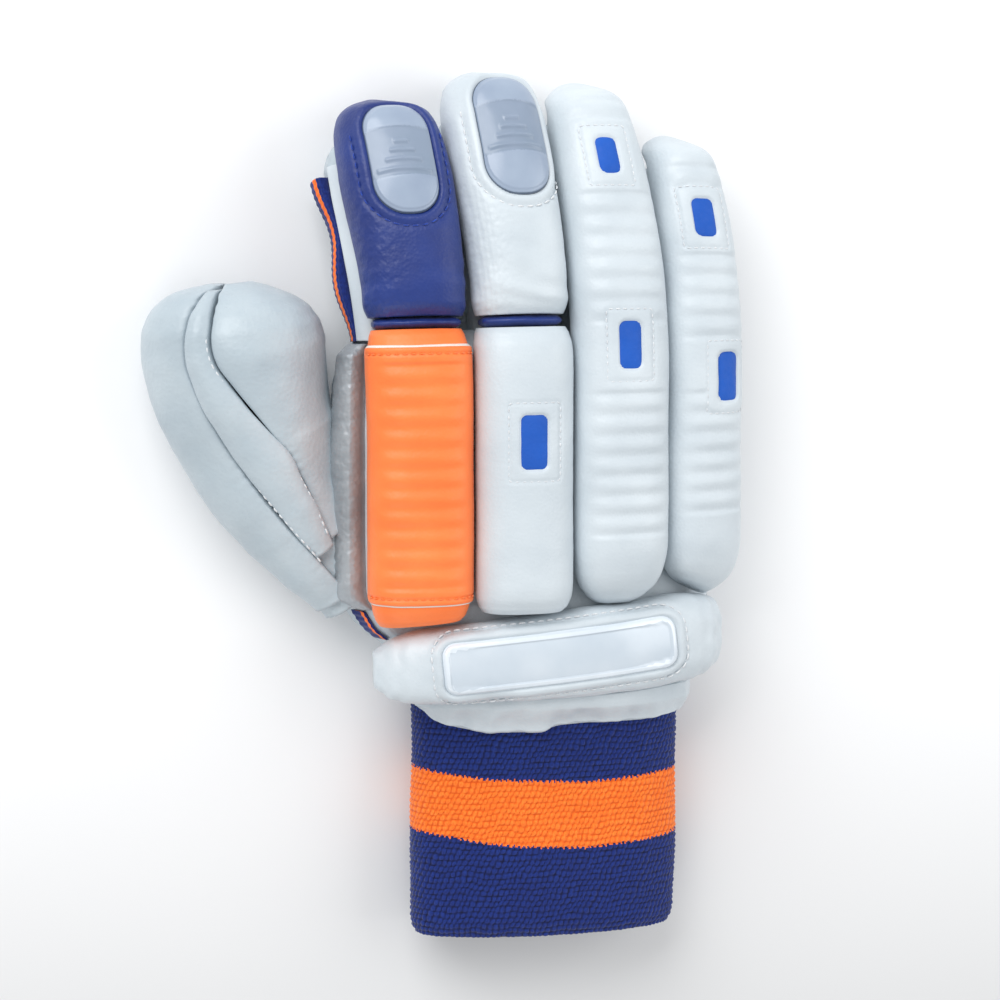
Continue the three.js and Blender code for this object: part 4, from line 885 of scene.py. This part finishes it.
def hand_ring(along, lift=0.0):
    """The hand's section at a share of its length: 24 points, from the little finger's side over the back."""
    t = lerp(WRIST_END, CROTCH, along)
    z = np.interp(t, TRACK, track_z) + back_height
    row = {key: profile(HAND_ROWS, along, key, 0.03) for key in HAND_ROWS}
    thumb_wall, little_wall = -PALM_SIDE_THUMB * row["thumb"], PALM_SIDE_LITTLE * row["little"]
    thumb_fold = max(-BACK_SIDE_THUMB, thumb_wall * 0.9)
    little_fold = min(BACK_SIDE_LITTLE, little_wall * 0.94)
    flat = -z / math.cos(np.interp(t, TRACK, track_slope))

    def top(x):
        return back_rise(x, t) - GAP

    def low(x):
        return np.maximum(flat, lerp(flat, top(x) - STALL_DEPTH - 2, row["arched"]))

    def wall(fold, end, side):
        x = lerp(fold, end, side[0])
        return x, lerp(low(x), top(fold), side[1])

    back_x = lerp(little_fold, thumb_fold, BACK_POINTS)
    palm_x = lerp(thumb_fold, little_fold * 0.92, PALM_POINTS)
    parts = [
        (back_x, top(back_x)),
        wall(thumb_fold, thumb_wall, THUMB_SIDE),
        (palm_x, low(palm_x)),
        wall(little_fold, little_wall, LITTLE_SIDE),
    ]
    palm = np.stack([np.concatenate([p[i] for p in parts]) for i in (0, 1)], -1)
    band = offset(band_section(BAND_LOW, BAND_TOP), -GAP - LEATHER) - [0, z]
    return t, offset(lerp(palm, band, row["wrist"]), -lift)


def at_places(section, places):
    """Points on a closed section, at places counted in its own points."""
    closed = np.concatenate([section, section[:1]])
    return np.stack([np.interp(places, np.arange(len(closed)), closed[:, k]) for k in (0, 1)], -1)


def around(section, count, soft=6):
    """A closed section drawn with more points and softened corners."""
    fine = at_places(section, np.linspace(0, len(section), count, endpoint=False))
    kernel = np.hanning(2 * soft + 3)[1:-1]
    kernel /= kernel.sum()
    padded = np.concatenate([fine[-soft:], fine, fine[:soft]])
    return np.stack([np.convolve(padded[:, k], kernel, "valid") for k in (0, 1)], -1)


def hand_rings(shares, lift):
    """Rings of the hand, rounded in at the fingers' end."""
    rings = []
    for share in shares:
        t, section = hand_ring(share, lift - RIM_DROP * max(0, (share - 0.9) / 0.1) ** 2.2)
        rings.append(in_section(t, *around(section, HAND_COLUMNS).T))
    return np.array(rings)


def on_hand(t, lift, start, stop, count):
    """Points on the hand's outside at t, between two places of its section."""
    section = hand_ring((t - WRIST_END) / (CROTCH - WRIST_END), lift)[1]
    return in_section(t, *at_places(section, np.linspace(start, stop, count) % len(section)).T)


def hand_path(place_at, start, stop, count=120, lift=0.1):
    """A line along the hand at one place of its section, with its normals."""
    t = np.linspace(start, stop, count)
    a, b = (np.concatenate([on_hand(x, rise, place_at, place_at, 1) for x in t]) for rise in (lift, lift + 2))
    return a, unit(b - a)


shares = np.linspace(1, 0, 84)
outer, inner = hand_rings(shares, 0), hand_rings(np.linspace(0, 0.985, 24), -LEATHER)
places = np.arange(HAND_COLUMNS) * 24 / HAND_COLUMNS
soft = 0.35 * (ripple(outer, 30, 21) + creases(outer, 16, 22)) * ease(outer[..., 2] / MM, 0.2, 3)
seams = 0.8 * (ridge(places - 12.2, 0.09) + ridge(places - 20.6, 0.09)) * ease(outer[..., 2] / MM, 0.5, 2)
skin = pushed(outer, ring_normals(outer), soft - seams, 0.05)
t = lerp(WRIST_END, CROTCH, shares)[:-1, None]
white_top = (places < 8.7) | (places > 23.3) | ((t < 15) & ((places < 10.2) | (places > 22)))
pick = np.concatenate([white_top, np.zeros((len(inner), HAND_COLUMNS))])
body("hand", np.concatenate([skin, inner]), [GREY, WHITE], pick, slot="palm_leather")
PALM_SEAMS = ((12.5, 22, 104), (9.6, 22, 60), (20.9, -8, 104), (22.6, -8, 60))
threads("palm_stitches", [hand_path(*seam_at) for seam_at in PALM_SEAMS], THREAD, "palm_leather")

# Finger stalls
STALL_ROWS = dict(
    along=[0, 0.35, 0.65, 0.84, 0.94, 1],
    wide=[1, 1, 0.97, 0.9, 0.68, 0.3],
    deep=[0, 0.4, 0.8, 1, 1, 1],
)
STALL_SQUARENESS = 2.6
STALL_COLUMNS = 72


def on_stall(finger, t, along, turns, lift=0.0, sway=0.0):
    """Points on a finger stall at t, a share along it; sway pushes out its sides."""
    wide, deep = (profile(STALL_ROWS, along, key, 0.03) for key in ("wide", "deep"))
    depth = lerp(STALL_DEPTH, STALL_TIP_DEPTH, deep)
    x, y = bulge(np.cos(turns), STALL_SQUARENESS), bulge(np.sin(turns), STALL_SQUARENESS)
    side = finger["stall"] / 2 * wide + lift + sway * np.abs(x) ** 3
    rise = depth / 2 * np.minimum(1, 0.25 + wide) + lift
    return place(finger["centre"] + finger["shift"] + side * x, t, -GAP - depth / 2 + rise * y)


stall_seams = []
for name, finger in FINGERS.items():
    along = np.linspace(0, 1, 90)[:, None]
    turns = np.linspace(0, 360, STALL_COLUMNS, endpoint=False)
    grid = on_stall(finger, lerp(CROTCH - 1, finger["reach"] - TIP_COVER, along), along, np.radians(turns))
    normals = ring_normals(grid)
    soft = 0.3 * ripple(grid, 14, 31) - 0.45 * creases(grid, 11, 32)
    soft = soft - 0.5 * ridge(turns - 205, 5) - 0.5 * ridge(turns - 335, 5)
    grid = pushed(grid, normals, soft, 0.1, (0.3, 2.5))
    body(name + "_stall", grid, [GREY], slot="palm_leather")
    for degrees in (212, 328):
        column = degrees * STALL_COLUMNS // 360
        stall_seams.append((grid[:72, column], normals[:72, column]))
threads("stall_stitches", stall_seams, THREAD, "palm_leather")

# The thumb
THUMB_LENGTH, THUMB_HEIGHT, THUMB_RADIUS, THUMB_REACH, THUMB_FLATNESS = 111, 18, 15, 32, 0.86
THUMB_ROOT = (-73, 27)
BEND = ([0, 0.3, 0.5, 0.7, 0.9, 1], [37, 34, 24, 12, 3, 0])
STEPS = 60
turn = np.radians(np.interp((np.arange(STEPS) + 0.5) / STEPS, *BEND))
thumb_x = THUMB_ROOT[0] - np.concatenate([[0], np.cumsum(np.sin(turn))]) * THUMB_LENGTH / STEPS
thumb_y = THUMB_ROOT[1] + np.concatenate([[0], np.cumsum(np.cos(turn))]) * THUMB_LENGTH / STEPS
THUMB_ROWS = dict(
    along=[-0.05, 0, 0.06, 0.2, 0.35, 0.5, 0.65, 0.79, 0.87, 0.925, 0.965, 0.988, 1],
    stall=[1.08, 1.08, 1.08, 1.06, 1.03, 1, 1, 0.97, 0.85, 0.6, 0.3, 0.1, 0.1],
    pads=[0.6, 0.67, 0.71, 0.75, 0.81, 0.86, 0.95, 1, 0.97, 0.87, 0.7, 0.5, 0.26],
)
SEAMS = dict(
    along=[0, 0.15, 0.3, 0.45, 0.6, 0.8, 1],
    outer=[108, 111, 114, 118, 124, 134, 128],
    inner=[100, 84, 76, 76, 90, 112, 112],
)
PAD_FLOOR, PAD_FADE = 0.25, (0.5, 3)
GUSSET_EDGE = 0.925
PUCKER_PITCH = 3.6


def on_thumb(along, radius, angle):
    turn = np.radians(np.interp(along, *BEND))
    inside = np.clip(along, 0, 1)
    past = (along - inside) * THUMB_LENGTH
    side = radius * np.cos(angle)
    at = np.linspace(0, 1, STEPS + 1)
    x = np.interp(inside, at, thumb_x) + side * np.cos(turn) - past * np.sin(turn)
    y = np.interp(inside, at, thumb_y) + side * np.sin(turn) + past * np.cos(turn) - HEEL_MIDDLE
    z = THUMB_HEIGHT + radius * THUMB_FLATNESS * np.sin(angle)
    x, y, z = np.broadcast_arrays(x, y, z)
    return np.stack([x, y, np.maximum(z, 0.3 + 0.02 * np.abs(z))], -1) * MM


def thumb_radius(along):
    return np.maximum(THUMB_RADIUS * profile(THUMB_ROWS, along, "stall", 0.01), 1)


def pad_radius(along):
    return THUMB_REACH * profile(THUMB_ROWS, along, "pads", 0.012)


def seam(name, along):
    return profile(SEAMS, along, name, 0.04)


def thumb_pad(name, start, stop, sides, edge, crown, blunt, seed, puckers=(), pad=None):
    """A pad on the thumb between two sides given in degrees, with puckers along its seams."""
    along = stretches((start, 0.88, 84), (0.88, stop, 46))[:, None]
    share = stretches((0, 0.1, 12), (0.1, 0.9, 48), (0.9, 1, 12))
    inner = thumb_radius(along) + 0.5
    swell = edge + (1 - edge) * np.maximum(np.sin(np.pi * share), 0) ** crown
    swell = swell - 0.035 * np.exp(-np.minimum(share, 1 - share) / 0.03)
    full = pad_radius(along) * swell - inner
    out = inner + np.maximum(1.2, full * np.minimum(1, blunt + (along - start) * 2.6))
    slack = 0.25 / (inner + 4)
    low, high = (np.radians(side(along)) for side in sides)
    top = on_thumb(along, out, lerp(low + slack, high - slack, share))
    under = on_thumb(along, inner, lerp(low + slack, high - slack, np.linspace(0, 1, 20)))
    soft = 0.6 * ripple(top, 34, seed) + 0.12 * ripple(top, 12, seed + 1)
    for side, centre, half, size in puckers:
        wave = np.sin(along * THUMB_LENGTH * 2 * math.pi / PUCKER_PITCH + 1.5 * np.sin(share * 9))
        soft = soft + size * np.exp(-np.abs(share - side) / 0.05) * ridge(along - centre, half) * wave
    top = pushed(top, sheet_normals(top), soft, PAD_FLOOR, PAD_FADE)
    body(name, np.concatenate([top, under[:, ::-1]], 1), [GREY], slot="palm_leather", pad=pad)


def thumb_path(name, start, stop, out, shift):
    along = np.linspace(start, stop, 120)
    angle = np.radians(seam(name, along) + shift)
    a, b = (on_thumb(along, pad_radius(along) * GUSSET_EDGE + out + rise, angle) for rise in (0, 2))
    return a, unit(b - a)


along = np.linspace(-0.08, 0.95, 110)[:, None]
turns = np.linspace(0, 360, 96, endpoint=False)
grid = on_thumb(along, thumb_radius(along) * (1 + 0.16 * ridge(turns - 292, 40)), np.radians(turns))
soft = 0.3 * ripple(grid, 16, 41) - 0.6 * creases(grid, 10, 42)
body("thumb_stall", pushed(grid, ring_normals(grid), soft, PAD_FLOOR, PAD_FADE), [GREY], slot="palm_leather")
outer_seam, inner_seam = lambda along: seam("outer", along), lambda along: seam("inner", along)
outer_side, inner_side = lambda along: 252 - 42 * ease(along, 0.78, 1), lambda along: -25
thumb_pad(
    "thumb_outer_pad", -0.04, 1, (outer_seam, outer_side), 0.93, 0.7, 0.3, 51,
    [(0, 0.99, 0.05, 0.5), (0, 0.45, 0.08, 0.35), (0, 0.12, 0.08, 0.25)], 0.9,
)
thumb_pad(
    "thumb_inner_pad", 0.14, 1, (inner_side, inner_seam), 0.93, 0.7, 0.12, 53,
    [(1, 0.99, 0.05, 0.4), (1, 0.42, 0.06, 0.3)], PAD,
)
thumb_pad("thumb_gusset", 0.12, 0.985, (inner_seam, outer_seam), GUSSET_EDGE, 1, 0.6, 55)
thumb_seams = [thumb_path("outer", 0.1, 0.95, -0.5, -3.0), thumb_path("inner", 0.16, 0.95, -0.5, 3.0)]
threads("thumb_stitches", thumb_seams, THREAD, "palm_leather", long=2.0)

# The skirt over the top of the wristband: its hem's depth across it
FLAP_EDGE = (
    [0, 0.05, 0.2, 0.42, 0.5, 0.54, 0.72, 0.88, 1],
    [0.2, 0.62, 0.76, 0.72, 0.78, 1, 0.97, 0.7, 0.15],
)
FLAP_COLUMNS, FLAP_DROP, FLAP_SWELL, FLAP_WALL = 170, 9.5, 5.2, 2.4
FLAP_PLACES = (-2, 10, FLAP_COLUMNS)
share = np.linspace(0, 1, FLAP_COLUMNS)
kernel = np.hanning(9)
deep = np.convolve(np.pad(np.interp(share, *FLAP_EDGE), 4, "edge"), kernel / kernel.sum(), "valid")


def flap_rows(lift):
    """Rows from the flap's root on the hand, over the wrist's rim and down to the hem."""
    tops = np.array([on_hand(t, GAP + lift, *FLAP_PLACES) for t in np.linspace(WRIST_END, WRIST_END + 8, 20)])
    columns = np.arange(FLAP_COLUMNS)
    grid = []
    for part in np.linspace(1, 0, 14)[:-1]:
        level = lerp(6, 2.3, share) * part / 8 * 19
        i = np.clip(level.astype(int), 0, 18)
        grid.append(lerp(tops[i, columns], tops[i + 1, columns], (level - i)[:, None]))
    edge = on_hand(WRIST_END, GAP / 2 + lift - LEATHER, *FLAP_PLACES)
    for part in np.linspace(0, 1, 26):
        row = lerp(tops[0], edge, part)
        row[:, 1] = lerp(tops[0][:, 1], (WRIST_END - FLAP_DROP * deep - HEEL_MIDDLE) * MM, part)
        grid.append(row)
    return np.array(grid)


top, low = flap_rows(FLAP_WALL), flap_rows(0)
down = np.linspace(0, 1, len(top))[:, None]
middle = np.maximum(np.sin(np.pi * share), 0)
top[..., 2] += FLAP_SWELL * (1 - ease(down, 0.1, 0.95)) * middle**0.4 * MM
top = lerp(top, low, 0.8 * (1 - middle**0.35)[:, None])
x = top[..., 0] / MM
folds = np.sin(x * 0.42 + 0.8 * np.sin(x * 0.13)) * 0.5 + np.sin(x * 0.95 + 1.2) * 0.22
folds = folds * ease(down, 0.15, 0.8) - 1.1 * ridge(x - 4, 3) * ease(down, 0.2, 0.7)
folds = folds + 0.2 * ripple(top, 12, 61)
top = pushed(top, sheet_normals(top), folds - 0.9 * ease(down, 0.93, 1))
sheet_body("wrist_flap", top, low, [WHITE], slot="white_leather")


# Strips on the thumb's side
def stall_strip(name, from_angle, to_angle, wall, stop, wave, materials, pick, slot, ripples=0.0):
    """A strip along the index finger's stall, between two angles round it."""
    start = CROTCH - 3
    t = np.linspace(start, stop, 110)[:, None]
    share = np.linspace(0, 1, 40)
    along = (t - CROTCH) / (FINGERS["index"]["reach"] - TIP_COVER - CROTCH)

    def layer(lift, sway=0):
        angles = np.radians(lerp(from_angle, to_angle, share))
        return on_stall(FINGERS["index"], t, along, angles, lift, sway * (1 - np.cos((t - start) * 0.16)))

    top = layer(GAP + wall, wave)
    out = ripples * (np.sin(share * 2 * math.pi * 9) + 0.8 * np.sin(t * 2.6))
    out = out - 0.6 * wall * (2 * np.abs(share - 0.5)) ** 8
    top = top + (layer(GAP + wall + 1, wave) - top) * out[..., None]
    sheet_body(name, top, layer(GAP * 0.5), materials, pick(share[:-1]), slot=slot)


def hand_strip(name, from_place, to_place, start, stop, rise, materials, pick, slot, pad=None):
    """A strip along the hand, between two places of its section."""
    t = np.linspace(start, stop, max(40, round(1.6 * (stop - start))))
    share = np.linspace(0, 1, 44)
    base, lifted = (np.array([on_hand(x, lift, from_place, to_place, 44) for x in t]) for lift in (0.1, 1.1))
    top = pushed(base, unit(lifted - base), rise(t[:, None], share, base))
    sheet_body(name, top, base, materials, pick(share[:-1]), slot=slot, pad=pad)


BAR_FROM, BAR_TO, BAR_HEIGHT = 15, 108, 7


def bar_rise(t, share, base):
    """The silvered bar's crown, with its ends rounded down and its leather wrinkled."""
    arch = np.maximum(np.sin(np.pi * share), 0)
    end = np.minimum(1, 0.35 + np.minimum(t - BAR_FROM, BAR_TO - t) / 6)
    fold = np.sin(t * 1.5 + 2.2 * np.sin(share * 4) + 1.3 * np.sin(t * 0.31))
    rise = BAR_HEIGHT * (0.12 + 0.88 * arch**0.55) * end - 0.22 * creases(base, 12, 71)
    return rise + (0.08 * fold + 0.18 * ripple(base, 14, 72)) * arch


def plain(share):
    return 0 * share


tip = FINGERS["index"]["reach"] - TIP_COVER
knit = [STRIP_NAVY, STRIP_ORANGE]
stall_strip("index_side_band", 118, 158, LEATHER, tip - 13, 0, [WHITE], plain, "white_leather")
stall_strip(
    "index_gusset", 161, 205, 1.6, tip - 16, 1.4, knit, lambda share: (share > 0.16) & (share < 0.34),
    "navy_knit", 0.16,
)
hand_strip("side_bar", 8.6, 10.3, BAR_FROM, BAR_TO, bar_rise, [SILVER], plain, "silver_leather", 0.8)
hand_strip(
    "heel_gusset", 9.2, 10, 4, 14, lambda t, share, base: 1.6 + 0.18 * np.sin(t * 3.1) + 0 * share, knit,
    lambda share: share < 0.25, "navy_knit",
)

# The knitted wristband, with a raised stitch in each cell of its rows
BAND_COLUMNS, COLUMNS_A_STITCH, ROW_PITCH = 456, 4, 2.05
KNIT_RISE, KNIT_WALL = 0.8, 2.6
BAND_ROWS = dict(
    y=[-104, -99, -74.6, -45.2, -20, -9],
    inset=[1.4, 0.2, 0, 0.8, 0, 0],
    sag=[1, 1, 1, 0.6, 0, 0],
)
STRIPE_ROWS = dict(
    x=[-51, -25, 10, 46],
    top=[-64.3, -68.5, -70.6, -68.2],
    low=[-87.4, -91.5, -94.3, -91.5],
)


def band_ring(y, wall):
    """A ring of the wristband, its points evenly spaced."""
    inset, sag = (np.interp(y, BAND_ROWS["y"], BAND_ROWS[key]) for key in ("inset", "sag"))
    section = band_section(lerp(BAND_LOW, REST_GAP, sag), lerp(BAND_TOP, BAND_TOP - LEATHER, sag))
    ring = around(offset(section, inset + wall), BAND_COLUMNS, 14)
    arc = np.concatenate([[0], np.cumsum(np.linalg.norm(np.roll(ring, -1, 0) - ring, axis=1))])
    even = np.linspace(0, arc[-1], BAND_COLUMNS, endpoint=False)
    x, z = at_places(ring, np.interp(even, arc, np.arange(BAND_COLUMNS + 1))).T
    return np.stack([x, np.full(BAND_COLUMNS, y - HEEL_MIDDLE), z], -1) * MM


y = np.concatenate([np.arange(-104, -18, 0.5), np.arange(-18, -8.5, 1.5)])[::-1]
outer = np.array([band_ring(row, 0) for row in y])
y = y[:, None]
row_at = y / ROW_PITCH + 0.22 * ripple(outer, 14, 82) + 0.12 * ripple(outer, 5, 83)
column_at = np.arange(BAND_COLUMNS) / COLUMNS_A_STITCH + 0.25 * ripple(outer, 9, 84)
column_at = column_at + 0.3 * (row_at % 1 - 0.5)
stagger = 0.5 * (np.floor(row_at) % 2)
beads = np.abs(np.sin(np.pi * row_at)) ** 0.7 * np.abs(np.sin(np.pi * (column_at + stagger))) ** 0.8
beads = beads * (0.85 + 0.2 * ripple(outer, 3.1, 85))
wobble = ripple(outer, 45, 81)
rise = (KNIT_RISE * (beads - 0.5) + 0.5 * wobble) * ease(-y, 18, 22) - 0.7 * ease(-y, 101, 104)
stripe_y = outer[..., 1] / MM + 0.5 * np.sin(column_at * 2 * np.pi) + 0.4 * wobble
x = outer[..., 0] / MM
stripe_top, stripe_low = (np.interp(x, STRIPE_ROWS["x"], STRIPE_ROWS[key]) for key in ("top", "low"))
orange = ((stripe_y < stripe_top) & (stripe_y > stripe_low))[:-1]
outer = pushed(outer, ring_normals(outer), rise, 0.1, (0.1, 1.2))
inner = np.array([band_ring(row, KNIT_WALL) for row in np.linspace(-103.6, -9, 14)])
grid = np.concatenate([outer, inner])
faces = tube_faces(len(grid), BAND_COLUMNS, False)
last = (len(grid) - 1) * BAND_COLUMNS
for j in range(BAND_COLUMNS):
    k = (j + 1) % BAND_COLUMNS
    faces.append([last + j, last + k, k, j])
points = grid.reshape(-1, 3)
picks = np.concatenate([orange.reshape(-1), np.zeros(len(faces) - orange.size)])
band = make(
    "wristband", points, outward(points, faces), [KNIT_NAVY, KNIT_ORANGE], picks, replaces=["wristband"],
    slot="navy_knit",
)
# Bead heights for the knit materials, which paint shade into the low places between beads
bead_shade_depths = np.concatenate([beads.reshape(-1), np.full(len(points) - beads.size, 0.5)]).astype(np.float32)
band.data.attributes.new("stitch", "FLOAT", "POINT").data.foreach_set("value", bead_shade_depths)

# Floor and light
FLOOR_SIZE = 6
FLOOR_SHADE_FROM, FLOOR_SHADE_TO = -0.17, -0.02
floor_stuff = Stuff("floor")
floor_at = floor_stuff.add("ShaderNodeSeparateXYZ")
floor_stuff.link(floor_stuff.where, floor_at.inputs["Vector"])
# Painted shade: the floor turns from pale to grey towards -Y, the wrist's side, as a falloff of light
fade = floor_stuff.range(floor_at.outputs["Y"], FLOOR_SHADE_FROM, FLOOR_SHADE_TO, 0, 1)
pale = floor_stuff.mix(floor_stuff.noise(3, 2), colour("#f8f9fa"), colour("#f5f6f8"))
floor_stuff.paint(floor_stuff.mix(fade, colour("#dadbdc"), pale))
floor_stuff.set(Roughness=0.7)
floor_mesh = bpy.data.meshes.new("floor")
corners = [(x * FLOOR_SIZE, y * FLOOR_SIZE, 0) for x, y in ((-1, -1), (1, -1), (1, 1), (-1, 1))]
floor_mesh.from_pydata(corners, [], [(0, 1, 2, 3)])
floor_mesh.materials.append(floor_stuff.material)
floor = bpy.data.objects.new("floor", floor_mesh)
bpy.context.scene.collection.objects.link(floor)
LIGHTS = (
    ("key", (-0.75, 1.2, 1.15), 1.3, 23),
    ("fill", (1.3, 0.3, 1.1), 1.3, 9),
    ("low", (-0.5, -1.3, 0.8), 1.0, 4),
)
AIM = Vector((0, 0.02, 0))
for name, where, size, power in LIGHTS:
    data = bpy.data.lights.new(name, "AREA")
    data.shape = "SQUARE"
    data.size = size
    data.energy = power
    light = bpy.data.objects.new(name, data)
    light.location = where
    light.rotation_mode = "QUATERNION"
    light.rotation_quaternion = (AIM - Vector(where)).to_track_quat("-Z", "Y")
    bpy.context.scene.collection.objects.link(light)
world = bpy.data.worlds.new("studio")
bpy.context.scene.world = world
world.use_nodes = True
background = world.node_tree.nodes["Background"]
background.inputs["Color"].default_value = (1, 1, 1, 1)
background.inputs["Strength"].default_value = 0.58
bpy.context.scene.view_settings.view_transform = "Standard"
